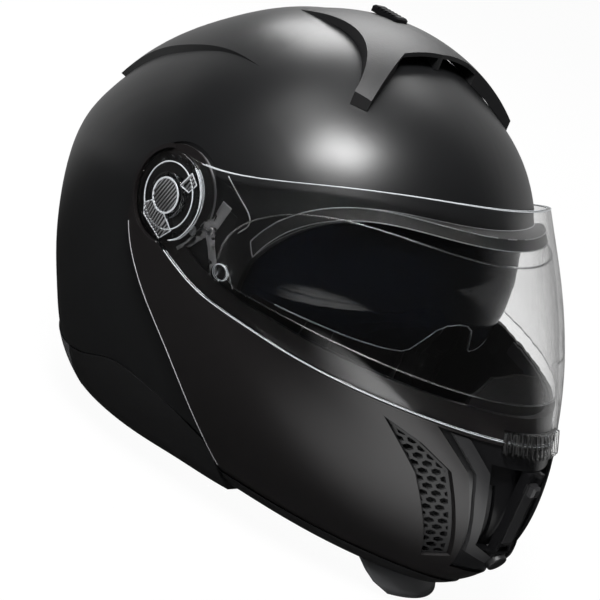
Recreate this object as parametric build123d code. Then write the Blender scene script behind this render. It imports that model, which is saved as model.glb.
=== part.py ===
from build123d import *
from functools import cache
from math import cos, hypot, radians, sin
import os

os.makedirs("parts", exist_ok=True)

# Modular road helmet in millimetres, front towards -Y, wearer's left towards +X.
# While it is built the origin lies at the middle of the widest section; the hinge of the
# chin bar lies hinge_rise above it. The last lines move everything onto its rim plane.

# Overall form
reach = 125.0
half_width = 126.0
shell_half_width = 121.0
hinge_rise = 9.5
rim_drop = 140.0
overrun = 300.0

# Walls and clearances
shell_wall = 4.0
visor_wall = 2.4
chin_wall = 4.0
arm_inset = 4.0
arm_wall = 3.0
touch_gap = 0.3
run_gap = 0.06
seat_gap = 0.2
drum_half_width = 118.0
drum_radius = 180.0
drum_power = 1.75
drum_points = 24
inner_gap = 0.3
drum_gap = 1.0
split_gap = 0.8
visor_gap = 1.0

# Plan and front outlines, in shares of reach across and along
spine_plan_shares = ((0.69, -0.3), (0.68, 0.06), (0.648, 0.39), (0.528, 0.9), (0.44, 1.4))
vent_plan_shares = (
    (0, -0.464), (0.192, -0.432), (0.272, -0.296), (0.296, -0.072), (0.344, 0.144),
    (0.408, 0.248), (0.536, 0.36),
)
vent_front_shares = ((0.496, 0.432), (0.336, 0.344), (0.232, 0.288), (0, 0.304))
side_vent_shares = (
    (0.555, -0.33), (0.44, -0.375), (0.33, -0.448), (0.285, -0.552), (0.17, -0.832),
    (0.228, -0.888), (0.415, -0.512),
)
panel_shares = ((0.42, -0.28), (0.28, -0.43), (0.24, -0.55), (0.135, -0.89))
mouth_shares = ((0.205, -0.365), (0.185, -0.5), (0.13, -0.75))
slot_shares = ((0.16, -0.47), (0.125, -0.47), (0.07, -0.72), (0.1, -0.72))
mouth_trim_shares = (
    (0.31, -0.29), (0.215, -0.4), (0.195, -0.51), (0.15, -0.73), (0.07, -0.77), (0.07, -0.81),
    (0.158, -0.78), (0.234, -0.53), (0.26, -0.42), (0.37, -0.29),
)
guard_shares = ((0.3, -0.3), (0.26, -0.16), (0.16, -0.07), (0.03, -0.05))
fog_lens_shares = ((1.7, 0.34), (0.9, 0.35), (0.55, 0.27), (0.37, 0.1), (0.36, -0.08))
fog_lens_corner_shares = ((0.46, -0.125), (1.7, -0.13))
sun_top_shares = ((0.15, 0.05), (0.22, 0.17), (0.36, 0.33), (0.56, 0.46), (0.8, 0.496), (1.4, 0.5))
sun_corner_shares = ((1.4, -0.5), (0.6, -0.26), (0.16, -0.03))
sun_edge_shares = (
    (0, -0.024), (0.08, -0.048), (0.144, -0.128), (0.208, -0.184), (0.32, -0.24), (0.448, -0.248),
    (0.608, -0.256), (0.8, -0.22),
)
bracket_shares = (
    (0.28, 0.15), (0.33, 0.14), (0.335, 0.04), (0.36, -0.06), (0.345, -0.145), (0.29, -0.14),
    (0.275, -0.05), (0.262, 0.06),
)

# Hinge stack, from the shell's seat outwards
recess_radius = 29.5
arm_radius = 28.0
plate_radius = 27.0
visor_end_radius = 24.0
rim_radius = 25.2
hub_radius = 8.94
cap_radius = 12.5
pad_radius = 37.0
seat_level = 114.4
plate_level = 116.6
arm_low_level = 117.0
arm_top_level = 119.6
ratchet_level = 120.9
gear_low_level = 119.9
visor_low_level = 121.6
visor_top_level = 123.9
cap_low_level = 124.1
ratchet_inner_radius = 12.2
ratchet_outer_radius = 20.0
ratchet_tooth = 1.8
gear_radius = 10.4
gear_tooth = 1.2
gear_bore = 9.2
cap_slot_width = 2.6
cap_slot_depth = 0.9

# Lower rim
trim_top = 125.0
side_rim_drop = 137.0
trim_gap = 0.5
band_back_share = 0.46
trim_proud = 0.8

# Raised middle of the crown and its exhaust
spine_end_share = 0.24
exhaust_top = 29.0
exhaust_half_width = 38.0
exhaust_height = 26.0
exhaust_thickness = 2.6
exhaust_slot = 5.0
exhaust_slots = 3

# Crown vent
vent_skin = 2.4
vent_rib = 4.0
intake_half_width = 34.0
intake_depth = 38.0
shell_slot_width = 16.0
shell_slot_length = 10.0
shell_slot_side = 17.0
shell_slot_ahead = 14.0
knob_width = 9.4
knob_length = 20.0
knob_height = 2.8
knob_back = 7.5
knob_travel = 7.0
knob_groove = 1.4
track_depth = 1.6
track_side_gap = 0.3

# Sun visor lever in the left rim trim
lever_length = 18.0
lever_height = 8.0
lever_travel = 20.0
lever_ahead = 38.0
lever_drop = 128.0
lever_floor = 80.0
lever_reach = 9.0
lever_wall = 2.0
lever_gap = 0.3
lever_round = 1.5
lever_groove = 1.6

# Toothed rings of the visor detent
ratchet_teeth = 24
gear_teeth = 18

# Latch of the chin bar: ahead and above of each corner
hook_pin_radius = 3.0
hook_ahead = 88.0
hook_drop = 106.0
hook_boss_low = 66.0
hook_low = 68.0
hook_high = 71.0
hook_outline = (
    (94, -112), (94, -101), (86, -98), (65, -98), (64.4, -103.6), (66.2, -104.2), (66.8, -103.4),
    (72.2, -103.4), (72.2, -108.5), (76, -112),
)
striker_radius = 2.2
striker_ahead = 69.0
striker_drop = 106.0
striker_high = 74.0
striker_lug_low = 58.0
striker_lug_high = 66.5
striker_lug_outline = ((50, -111), (50, -101), (72, -102.5), (72, -109.5))
screw_radius = 1.6
screw_head_radius = 2.6
screw_ahead = 22.6
screw_above = 0.0
screw_low = 117.6
screw_top = 120.1
screw_slot = 0.7
bracket_wall = 1.4

# Chin bar fittings
trim_base = 132.5
grille_depth = 2.2
grille_wall = 1.6
grille_border = 1.4
grille_middle_share = 0.34
grille_height_share = -0.6
cell_radius = 1.9
cell_bar = 0.9
cell_rows = 24
cell_columns = 16
panel_depth = 1.4
panel_wall = 2.2
mouth_depth = 9.0
trim_bar_proud = 1.0
flap_width = 9.0
flap_wall = 2.0
flap_knob = 6.0
flap_ahead = 202.6
flap_low = -88.0
flap_height = 36.0
flap_spare = 6.0
flap_lip = 2.0
rail_depth = 3.6
button_radius = 5.8
button_length = 12.0
button_round = 1.0
button_ahead = 194.3
button_drop = 96.3
button_lean = 25.0
button_travel = 4.0
curtain_wall = 2.0
curtain_ahead = 120.0
curtain_top = 124.0
foam_inset = 11.8
foam_wall = 16.0
foam_ahead = 125.0
foam_low = 122.0
foam_top = 36.0
guard_wall = 2.0
demist_low = 30.0
demist_high = 22.8
demist_wall = 2.2
demist_ahead = 100.0
demist_slot = 5.0
demist_rib = 2.0
demist_slots = 8
demist_edge = 1.4

# Visor fittings
tab_proud = 4.0
tab_low = 38.0
tab_top = 27.0
tab_half_width = 23.0
tab_ribs = 6
tab_groove = 1.6
tab_rib_base = 1.4
fog_pin_radius = 4.4
fog_pin_ahead = 49.0
fog_pin_above = -11.0
fog_pin_lean = 17.0
fog_pin_head = 1.0
fog_pin_proud = 1.2
fog_pin_slot = 1.0
fog_lens_depth = 3.0
fog_lens_wall = 1.0
seal_width = 5.0
seal_gap = 0.5
seal_ahead = 40.0

# Sun visor on its own pivots
sun_axis_ahead = 28.0
sun_axis_above = 2.0
sun_radius = 92.0
sun_half_width = 107.0
sun_wall = 2.0
sun_pin_radius = 3.0
sun_pin_head_radius = 5.5
sun_boss_radius = 4.2
sun_pin_head = 1.8
sun_arm_radius = 9.0
sun_arm_low = 104.4
sun_arm_high = 106.4
sun_slot_gap = 1.6
sun_slot_ahead = 6.0
sun_foam_low = 100.0
pin_gap = 0.1

# Foam and pads round the head
head_half_width = 82.0
head_half_length = 104.0
head_half_height = 86.0
head_back = 6.0
head_drop = 8.0
foam_gap = 4.5
foam_setback = 2.0
liner_low = 97.0
cheek_near = -8.0
cheek_far = 60.0
cheek_low = 121.0
cheek_top = 56.0
cheek_foam_side = 72.0
cheek_pad_wall = 14.0
cheek_pad_far = 48.0
crown_pad_wall = 5.3
neck_low = 137.0
neck_near = 42.0

# Chin strap and its ratchet buckle
strap_width = 24.0
strap_wall = 2.0
strap_back = 26.0
strap_side = 75.5
strap_top = 66.0
strap_bend = 92.0
strap_corner = (40.0, -122.0)
strap_bottom = 128.0
anchor_drop = 74.0
anchor_radius = 4.0
anchor_head_radius = 7.0
buckle_along = 24.0
buckle_length = 28.0
buckle_width = 30.0
buckle_height = 6.0
ear_wall = 2.0
ear_length = 7.0
ear_height = 6.0
ear_back = 9.0
axle_rise = 3.4
axle_radius = 1.4
lever_knuckle = 2.3
lever_plate_length = 20.0
lever_plate_wall = 2.2
lip_length = 5.0
lip_lean = -20.0
tongue_length = 26.0
tongue_start = -6.0
tongue_teeth = 5
tongue_pitch = 3.0
strap_short_end = 15.0
strap_long_end = 46.0

# Side stations across the width of each moulded skin, and points round each section
section_count = 14
ring_count = 32

# Outer radius about the middle of the widest section: angle from straight ahead, share of reach
shell_ring_shares = (
    (0, 1.04), (27, 1.032), (46, 1.006), (66, 0.957), (88, 0.96), (112, 0.966), (137, 0.992),
    (162, 1.128), (182, 1.285), (202, 1.31), (222, 1.33), (240, 1.384), (262, 1.32), (280, 1.27),
    (298, 1.41), (318, 1.47), (340, 1.25),
)
spine_ring_shares = (
    (0, 0.98), (46, 0.95), (88, 0.955), (112, 0.985), (137, 1.032), (162, 1.168), (182, 1.3),
    (202, 1.31), (240, 1.3), (280, 1.2), (318, 1.2), (340, 1.1),
)
vent_ring_shares = (
    (0, 1.04), (27, 1.04), (50, 1.015), (60, 1.026), (70, 1.027), (88, 1.01), (112, 0.983),
    (128, 0.976), (150, 1.0), (182, 1.2), (240, 1.2), (300, 1.2),
)
face_ring_shares = (
    (5, 1.325), (20, 1.176), (30, 1.12), (45, 1.13), (66, 1.22), (90, 1.28), (140, 1.28),
    (180, 1.29), (225, 1.33), (255, 1.3), (285, 1.27), (300, 1.4), (320, 1.712), (332, 1.82),
    (342, 1.765), (352, 1.56),
)

# How square the sections are across the width: 2 is an ellipse
shell_flank = ((0, 2.0), (90, 2.0), (185, 2.2), (275, 2.6), (300, 2.0))
face_flank = (
    (5, 1.95), (65, 1.95), (95, 2.0), (185, 2.1), (275, 2.45), (300, 2.0), (322, 1.6), (338, 1.45),
)

# Side view, shares of reach: ahead of the middle, above the middle
split_shares = (
    (-0.192, -0.064), (-0.104, -0.208), (0.056, -0.36), (0.248, -0.548), (0.376, -0.72),
    (0.48, -0.912), (0.528, -1.14),
)
face_edge_shares = (
    (1.1, 0.395), (0.944, 0.392), (0.8, 0.368), (0.64, 0.28), (0.528, 0.15), (0.456, 0.0),
    (0.44, -0.2), (0.456, -0.48), (0.496, -0.8), (0.52, -1.2),
)
seam_shares = (
    (-1.6, -0.9), (-0.96, -0.9), (-0.5, -0.912), (-0.296, -0.856), (-0.08, -0.768),
    (0.2, -0.78), (0.56, -0.93),
)
visor_top_shares = (
    (0.0, 0.27), (0.27, 0.31), (0.504, 0.394), (0.712, 0.474), (0.896, 0.53), (1.3, 0.55),
)
visor_low_shares = (
    (0.0, -0.1), (0.152, -0.16), (0.304, -0.216), (0.528, -0.25), (0.736, -0.268), (1.112, -0.27),
    (1.7, -0.272),
)
chin_top_shares = (
    (0.06, -0.02), (0.2, -0.1), (0.32, -0.14), (0.528, -0.166), (0.736, -0.176), (1.112, -0.178),
    (1.7, -0.18),
)


visor_corner_shares = ((1.7, 2), (-0.98, 2), (0, hinge_rise / reach))
split_corner_shares = ((0.528, -2), (2.4, -2), (2.4, 0.96), (0.12, 0.96), (0, hinge_rise / reach))
face_corner_shares = ((2.4, -1.2), (2.4, 0.395))
seam_corner_shares = ((2.4, -0.93), (2.4, -2.4), (-1.6, -2.4))
chin_corner_shares = ((1.7, 2), (-2, 2), (-2, -0.02))


def ring_value(table, angle):
    """Smooth closed curve through pairs of angle and value."""
    count = len(table)
    spans = [(table[(i + 1) % count][0] - table[i][0]) % 360 for i in range(count)]
    rest = (angle - table[0][0]) % 360
    i = 0
    while rest >= spans[i]:
        rest -= spans[i]
        i = (i + 1) % count
    t = rest / spans[i]
    here, there = table[i][1], table[(i + 1) % count][1]
    into = (there - table[i - 1][1]) / (spans[i] + spans[i - 1]) * spans[i]
    out = (table[(i + 2) % count][1] - here) / (spans[i] + spans[(i + 1) % count]) * spans[i]
    start = (2 * t**3 - 3 * t**2 + 1) * here + (t**3 - 2 * t**2 + t) * into
    return start + (3 * t**2 - 2 * t**3) * there + (t**3 - t**2) * out


def skin(ring_shares, flank, wide, inset):
    """Closed solid of a moulded skin, drawn in by inset on every side."""
    span = wide - inset
    sections = [Vertex(-span, 0, 0)]
    for i in range(1, section_count):
        x = span * sin(radians(180 * i / section_count - 90))
        points = []
        for j in range(ring_count):
            angle = 360 * j / ring_count
            power = ring_value(flank, angle)
            fall = max(0, 1 - (abs(x) / span) ** power) ** (1 / power)
            radius = (ring_value(ring_shares, angle) * reach - inset) * fall
            points.append(Vector(x, -radius * cos(radians(angle)), radius * sin(radians(angle))))
        knots = [j / ring_count for j in range(ring_count + 1)]
        sections.append(Wire([Edge.make_spline(points, periodic=True, parameters=knots)]))
    sections.append(Vertex(span, 0, 0))
    return Solid.make_loft(sections)


@cache
def shell_skin(inset):
    return skin(shell_ring_shares, shell_flank, shell_half_width, inset)


@cache
def face_skin(inset):
    return skin(face_ring_shares, face_flank, half_width, inset)


def spot(shares):
    """Side view place, ahead and above in shares of reach, as Y and Z."""
    return (-shares[0] * reach, shares[1] * reach)


def side_prism(curve_shares, corner_shares):
    """Full-width prism: a smooth curve closed by straight lines through the corners."""
    curve = Spline(*[spot(s) for s in curve_shares])
    rest = Polyline(curve @ 1, *[spot(s) for s in corner_shares], curve @ 0)
    face = Plane.YZ * make_face([curve, rest])
    return extrude(face, amount=overrun, both=True)


def hinge_disc(radius, low, high):
    """Coaxial discs at both hinges, from low to high off the middle plane."""
    disc = Cylinder(radius, high - low, align=(Align.CENTER, Align.CENTER, Align.MIN))
    right = Pos(low, 0, hinge_rise) * Rot(0, 90, 0) * disc
    return Part() + right + mirror(right, about=Plane.YZ)


def one_disc(radius, low, high):
    disc = Cylinder(radius, high - low, align=(Align.CENTER, Align.CENTER, Align.MIN))
    return Pos(low, 0, hinge_rise) * Rot(0, 90, 0) * disc


@cache
def drum(inset):
    """Barrel of revolution about the hinge axis that the chin bar's arms swing over."""
    wide, radius = drum_half_width - inset, drum_radius - inset
    points = []
    for i in range(drum_points + 1):
        t = radians(90 * i / drum_points)
        points.append((wide * cos(t) ** (2 / drum_power), radius * sin(t) ** (2 / drum_power)))
    half = Spline(*points)
    profile = make_face([half, Polyline(half @ 1, (0, 0), half @ 0)])
    side = Pos(0, 0, hinge_rise) * revolve(profile, axis=Axis.X)
    return Part() + side + mirror_x(side)


def mirror_x(shape):
    return mirror(shape, about=Plane.YZ)


def both_sides(shape):
    """Left piece and its mirror image as one group."""
    return Part() + shape + mirror_x(shape)


def mirrored_prism(plane, curve_points, corner_points):
    """Prism of an outline drawn for one half: a smooth curve, then straight corners."""
    half = [Spline(*curve_points)]
    if corner_points:
        half.append(Polyline(half[0] @ 1, *corner_points))
    others = [mirror(line, about=Plane.YZ) for line in half]
    first, last = half[0] @ 0, half[-1] @ 1
    ends = [Line((-p.X, p.Y), (p.X, p.Y)) for p in (first, last) if p.X > 0]
    face = plane * make_face([*half, *others, *ends])
    return extrude(face, amount=overrun, both=True)


def front_prism(points):
    """Prism along Y of a closed outline of X and Z."""
    face = Plane.XZ * make_face(Polyline(*points, close=True))
    return extrude(face, amount=overrun, both=True)


def side_block(points, low, high, gap=0):
    """Block of a straight side view outline, ahead and above, from low to high along X."""
    face = make_face(Polyline(*[(-ahead, above) for ahead, above in points], close=True))
    face = Plane.YZ.offset(low) * (offset(face, amount=gap) if gap else face)
    return extrude(face, amount=high - low)


def flank_x(ring_shares, flank, wide, ahead, above):
    """How far off the middle plane a skin lies at a place of the side view."""
    angle = Vector(ahead, above).get_signed_angle(Vector(1, 0)) * -1
    power = ring_value(flank, angle % 360)
    radius = ring_value(ring_shares, angle % 360) * reach
    return wide * (1 - (hypot(ahead, above) / radius) ** power) ** (1 / power)


@cache
def front_zone(back, radius):
    """Everything ahead of the split line, moved back, with the hinge discs."""
    zone = side_prism(split_shares, split_corner_shares)
    return Pos(0, back, 0) * zone + hinge_disc(radius, 0, overrun)


def face_zone(back=0, up=0):
    """Side view of the face opening, moved back and up."""
    return Pos(0, back, up) * side_prism(face_edge_shares, face_corner_shares)


@cache
def cavity(inset):
    """Inside of the shell, drawn in by inset, with the seats of the hinges left solid."""
    grown = shell_skin(inset) - (front_zone(inset, recess_radius + inset) - drum(inset))
    return grown - hinge_disc(pad_radius + inset - shell_wall, seat_level - inset, overrun)


@cache
def below_seam():
    return side_prism(seam_shares, seam_corner_shares)


def sun_axis_disc(radius, low, high):
    disc = Cylinder(radius, high - low, align=(Align.CENTER, Align.CENTER, Align.MIN))
    return Pos(low, -sun_axis_ahead, sun_axis_above) * Rot(0, 90, 0) * disc


def sun_bowl(inset):
    size = (sun_half_width - inset, sun_radius - inset, sun_radius - inset)
    return Pos(0, -sun_axis_ahead, sun_axis_above) * scale(Sphere(1), by=size)


def level_block(low, high):
    """Slab of the whole width between two heights."""
    slab = Box(2 * overrun, 2 * overrun, high - low, align=(Align.CENTER, Align.CENTER, Align.MIN))
    return Pos(0, 0, low) * slab


def ahead_block(near, far=overrun):
    """Slab of the whole width between two distances ahead of the middle."""
    slab = Box(2 * overrun, far - near, 2 * overrun, align=(Align.CENTER, Align.MAX, Align.CENTER))
    return Pos(0, -near, 0) * slab


@cache
def make_spine():
    plan = mirrored_prism(Plane.XY, [Vector(x, y) * reach for x, y in spine_plan_shares], ())
    plan &= level_block(spine_end_share * reach, overrun)
    return skin(spine_ring_shares, shell_flank, shell_half_width, 0) & plan


@cache
def make_outer_shell():
    body = shell_skin(0) + make_spine()
    body -= front_zone(0, recess_radius) - drum(0)
    body -= hinge_disc(recess_radius, seat_level, overrun)
    body -= cavity(shell_wall)
    body -= face_zone()
    body -= below_seam()
    body -= both_sides(bracket_zone(inner_gap) - drum(bracket_wall))
    return body - vent_ports() - exhaust_ports()


def bracket_zone(gap):
    """Side view of the bracket beside the eyeport, grown by gap."""
    outline = [(x * reach, z * reach) for x, z in bracket_shares]
    return side_block(outline, sun_radius, overrun, gap)


def make_side_bracket():
    """Plate let into the shell beside the eyeport."""
    return (drum(inner_gap) & bracket_zone(0)) - drum(bracket_wall)


def vent_ports():
    """Two slots through the crown under the vent cover."""
    up = (Align.CENTER, Align.CENTER, Align.MIN)
    slot = Box(shell_slot_width, shell_slot_length, overrun, align=up)
    return both_sides(Pos(shell_slot_side, -shell_slot_ahead, 0) * slot)


@cache
def exhaust_ports():
    """Slots through the back of the shell behind the exhaust cover."""
    low = exhaust_top - exhaust_height
    pitch = exhaust_height / (exhaust_slots + 1)
    back = (Align.CENTER, Align.MIN, Align.CENTER)
    slot = Box(exhaust_half_width, overrun, exhaust_slot, align=back)
    ports = Part()
    for i in range(exhaust_slots):
        ports += Pos(0, 0, low + pitch * (i + 1)) * slot
    return ports


def make_exhaust():
    """Cover under the trailing edge of the raised middle, with louvre slots."""
    back = (Align.CENTER, Align.MIN, Align.MAX)
    window = Pos(0, 0, exhaust_top) * Box(2 * exhaust_half_width, overrun, exhaust_height, align=back)
    body = (shell_skin(-exhaust_thickness) & window) - shell_skin(-inner_gap)
    return body - exhaust_ports()


@cache
def make_rim_skin():
    """Lower edge of the shell behind the split line, under the seam."""
    skin_wall = (shell_skin(-trim_proud) & Pos(0, 0, -trim_gap) * below_seam()) - shell_skin(shell_wall)
    return skin_wall - front_zone(0, recess_radius)


def make_rear_band():
    keep = Pos(0, band_back_share * reach, -rim_drop)
    keep *= Box(2 * overrun, overrun, overrun, align=(Align.CENTER, Align.MIN, Align.MIN))
    return make_rim_skin() & keep


def slider_pocket(extra):
    """Slot for the sun visor lever, through the left rim trim."""
    pocket = Box(overrun, lever_length + lever_travel + 2 * extra, lever_height + 2 * extra)
    middle = -lever_ahead + lever_travel / 2
    return Pos(lever_floor + overrun / 2 - extra, middle, -lever_drop) * pocket


def make_side_trim(side):
    """Lower side panel between the rear band and the split line."""
    keep = Pos(0, band_back_share * reach - trim_gap, -side_rim_drop)
    keep *= Box(2 * overrun, overrun, overrun, align=(Align.CENTER, Align.MAX, Align.MIN))
    half = Box(overrun, 2 * overrun, 2 * overrun, align=(Align.MIN, Align.CENTER, Align.CENTER))
    panel = make_rim_skin() & keep & half
    if side > 0:
        housing = slider_pocket(lever_wall) & shell_skin(shell_wall / 2)
        panel = (panel + housing) - slider_pocket(lever_gap)
        return panel
    return mirror_x(panel)


def make_sun_lever():
    """Thumb slider that moves the sun visor, ribbed on its face."""
    out = (Align.MIN, Align.CENTER, Align.CENTER)
    body = Box(lever_reach, lever_length, lever_height, align=out)
    body = fillet(body.faces().sort_by(Axis.X)[-1].edges(), lever_round)
    for i in range(-1, 2):
        groove = Box(2 * lever_groove, lever_groove, lever_height)
        body -= Pos(lever_reach, i * 2 * lever_groove, 0) * groove
    return Pos(lever_floor, -lever_ahead, -lever_drop) * body


def make_vent_cover():
    return vent_block(0) - intake_space() - knob_track()


def vent_block(inset):
    """Solid between the crown and the vent's own skin, inside the plan outline."""
    curve = [Vector(x, -y) * reach for x, y in vent_plan_shares]
    corners = [Vector(x, -y) * reach for x, y in vent_front_shares]
    plan = mirrored_prism(Plane.XY, curve, corners) & level_block(0, overrun)
    body = skin(vent_ring_shares, shell_flank, shell_half_width, inset) & plan
    return body - shell_skin(-inner_gap) - make_spine()


def intake_space():
    """Air path under the vent cover, one each side of its middle rib."""
    width = intake_half_width - vent_rib / 2
    side = Box(width, overrun, overrun, align=(Align.MIN, Align.MAX, Align.MIN))
    side = Pos(vent_rib / 2, 0, 0) * side
    return both_sides(vent_block(vent_skin) & side)


def knob_place():
    top = ring_value(vent_ring_shares, 90) * reach
    return Pos(0, knob_back, top - track_depth)


def knob_track():
    length = knob_length + knob_travel + 2 * track_side_gap
    up = (Align.CENTER, Align.CENTER, Align.MIN)
    track = Box(knob_width + 2 * track_side_gap, length, overrun, align=up)
    return knob_place() * Pos(0, knob_travel / 2, 0) * track


def make_vent_knob():
    height = track_depth + knob_height - touch_gap
    body = Box(knob_width, knob_length, height, align=(Align.CENTER, Align.CENTER, Align.MIN))
    body = chamfer(body.faces().sort_by(Axis.Z)[-1].edges(), knob_height / 3)
    for i in range(-2, 3):
        rib_gap = Box(knob_width, knob_groove, 2 * knob_groove)
        body -= Pos(0, i * 2 * knob_groove, height) * rib_gap
    return knob_place() * Pos(0, 0, touch_gap) * body


def make_base_plate():
    """Hinge plate on the shell with the hub that carries chin bar and visor."""
    body = one_disc(plate_radius, seat_level, plate_level)
    return body + one_disc(hub_radius, plate_level, cap_low_level)


def make_pivot_cap():
    """Clear cover on the hub, slotted across for a coin."""
    body = one_disc(cap_radius, cap_low_level, half_width)
    body = fillet(body.faces().sort_by(Axis.X)[-1].edges(), cap_slot_depth)
    slot = Box(2 * cap_slot_depth, cap_radius, cap_slot_width)
    return body - Pos(half_width, 0, hinge_rise) * slot


def toothed_disc(radius, tooth, count, low, high):
    """Wheel with rounded teeth on its rim."""
    body = one_disc(radius, low, high)
    for i in range(count):
        angle = radians(360 * i / count)
        place = Pos(0, radius * cos(angle), radius * sin(angle))
        body += place * one_disc(tooth / 2, low, high)
    return body


def make_ratchet():
    tooth = 2 * ratchet_tooth
    body = toothed_disc(ratchet_outer_radius, tooth, ratchet_teeth, arm_top_level, ratchet_level)
    return body - one_disc(ratchet_inner_radius, 0, overrun)


def make_gear():
    body = toothed_disc(gear_radius, 2 * gear_tooth, gear_teeth, gear_low_level, visor_low_level)
    return body - one_disc(gear_bore, 0, overrun)


def visor_seat(extra):
    """Side view of where the visor lies or swings over the chin bar."""
    zone = Pos(0, 0, -extra) * side_prism(visor_low_shares, visor_corner_shares)
    return zone + hinge_disc(rim_radius + extra / 2, 0, overrun)


def chin_body():
    """Moulded chin bar before its openings: full skin below, set in under the visor."""
    zone = front_zone(-split_gap, arm_radius) - side_prism(chin_top_shares, chin_corner_shares)
    zone += hinge_disc(arm_radius, arm_low_level, overrun)
    zone -= drum(-drum_gap) - hinge_disc(arm_radius, 0, overrun)
    zone -= hinge_disc(plate_radius + split_gap, 0, arm_low_level)
    body = face_skin(0) & zone
    body -= visor_seat(visor_gap) - face_skin(arm_inset)
    body -= hinge_disc(rim_radius, arm_top_level, overrun)
    body -= visor_seat(visor_gap) & hinge_disc(pad_radius, arm_top_level + inner_gap, overrun)
    inside = visor_seat(visor_gap + chin_wall) - face_skin(arm_inset + arm_wall)
    inside += hinge_disc(arm_radius, arm_low_level, overrun)
    body -= face_skin(chin_wall) - inside
    return body - hinge_disc(hub_radius + run_gap, 0, overrun)


def make_chin_bar():
    body = chin_body() & level_block(-trim_top, reach)
    body -= side_windows() + panel_zone(0)
    return body + both_sides(latch_boss()) - both_sides(arm_screw_hole())


def side_pin(radius, ahead, above, low, high):
    """Rod across the helmet on its left side."""
    rod = Cylinder(radius, high - low, align=(Align.CENTER, Align.CENTER, Align.MIN))
    return Pos(low, -ahead, above) * Rot(0, 90, 0) * rod


def latch_boss():
    """Pivot stub of a latch hook, rooted in the chin bar's wall."""
    rod = side_pin(hook_pin_radius, hook_ahead, -hook_drop, hook_boss_low, overrun)
    return rod & face_skin(chin_wall / 2)


def make_latch_hook():
    """Flat hook that holds the striker until the button turns it up."""
    body = side_block(hook_outline, hook_low, hook_high)
    return body - side_pin(hook_pin_radius + run_gap, hook_ahead, -hook_drop, 0, overrun)


def make_striker():
    """Lug on the shell's front edge with the pin that the hook closes on."""
    lug = side_block(striker_lug_outline, striker_lug_low, striker_lug_high)
    lug += side_pin(striker_radius, striker_ahead, -striker_drop, striker_lug_high, striker_high)
    return lug - make_outer_shell()


def arm_screw_hole():
    hole = side_pin(screw_radius + run_gap, screw_ahead, screw_above, screw_low, overrun)
    head = screw_head_radius + run_gap
    return hole + side_pin(head, screw_ahead, screw_above, arm_top_level, overrun)


def make_arm_screw():
    """Countersunk look screw in the chin bar's arm, cross slotted."""
    body = side_pin(screw_radius, screw_ahead, screw_above, screw_low + run_gap, arm_top_level)
    body += side_pin(screw_head_radius, screw_ahead, screw_above, arm_top_level, screw_top)
    slot = Box(screw_slot, screw_head_radius * 2, screw_slot)
    cross = slot + Rot(90, 0, 0) * slot
    return body - Pos(screw_top, -screw_ahead, screw_above) * cross


def outline_points(shares):
    return [(x * half_width, z * reach) for x, z in shares]


def front_block(points, gap=0):
    """Block ahead of the middle inside a front view outline, drawn in by gap."""
    face = make_face(Polyline(*points, close=True))
    face = Plane.XZ * (offset(face, amount=-gap) if gap else face)
    return extrude(face, amount=overrun)


def side_windows():
    """Boomerang shaped vent windows, one each side."""
    return both_sides(front_block(outline_points(side_vent_shares)))


def mirrored_points(shares):
    half = outline_points(shares)
    return half + [(-x, z) for x, z in reversed(half)]


def panel_zone(gap):
    """Front view of the intake panel."""
    return front_block(mirrored_points(panel_shares), gap)


def chin_layer(outer, inner, zone):
    """Curved sheet inside a zone that follows the chin bar between two depths."""
    return (face_skin(outer) & zone) - face_skin(inner)


def make_side_grille():
    """Honeycomb grille behind a side window, with its border frame."""
    outline = outline_points(side_vent_shares)
    body = chin_layer(grille_depth, grille_depth + grille_wall, front_block(outline, seat_gap))
    middle = make_face(Polyline(*outline, close=True))
    middle = offset(middle, amount=-grille_border)
    pitch = 2 * cell_radius + cell_bar
    places = HexLocations(pitch / 2, cell_columns, cell_rows, major_radius=False)
    centre = Pos(grille_middle_share * half_width, grille_height_share * reach)
    cells = Sketch() + [centre * place * RegularPolygon(cell_radius, 6) for place in places]
    return body - extrude(Plane.XZ * (cells & middle), amount=overrun)


def make_intake_panel():
    """Gloss panel between the side windows, with a sunk mouth and its guide rail."""
    mouth = front_block(mirrored_points(mouth_shares))
    around = front_block(mirrored_points(mouth_shares), -panel_wall)
    body = chin_layer(panel_depth, mouth_depth + panel_wall, around)
    body -= mouth - face_skin(mouth_depth)
    body += chin_layer(panel_depth, panel_depth + panel_wall, panel_zone(seat_gap) - around)
    body -= both_sides(front_block(outline_points(slot_shares)))
    body += flap_rail()
    return body - button_well()


def flap_rail():
    """Straight guide on the mouth's floor that the shutter slides along."""
    height = flap_height + 2 * flap_spare
    up = (Align.CENTER, Align.MAX, Align.MIN)
    side = flap_lip + seat_gap
    rail = Box(flap_width + 2 * side, rail_depth + flap_wall, height, align=up)
    rail -= Box(flap_width + 2 * seat_gap, flap_wall, height, align=up).moved(Location((0, -rail_depth, 0)))
    return Pos(0, -flap_ahead + rail_depth + inner_gap, flap_low - flap_spare) * rail


def make_mouth_trim():
    """Raised bar that frames one side of the mouth."""
    zone = front_block(outline_points(mouth_trim_shares))
    return chin_layer(-trim_bar_proud, panel_depth - inner_gap, zone)


def make_vent_flap():
    """Sliding shutter of the chin vent with its thumb knob."""
    up = (Align.CENTER, Align.MAX, Align.MIN)
    plate = Box(flap_width, flap_wall, flap_height, align=up)
    knob = Box(flap_knob, flap_knob, flap_knob, align=(Align.CENTER, Align.MAX, Align.MAX))
    knob = chamfer(knob.faces().sort_by(Axis.Y)[0].edges(), flap_knob / 5)
    return Pos(0, -flap_ahead, flap_low) * (plate + Pos(0, 0, flap_height) * knob)


def button_rod(radius, length):
    """Rod square to the chin at the release button, from inside the bar outwards."""
    rod = Cylinder(radius, length, align=(Align.CENTER, Align.CENTER, Align.MIN))
    return Pos(0, -button_ahead, -button_drop) * Rot(90 + button_lean, 0, 0) * rod


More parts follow.
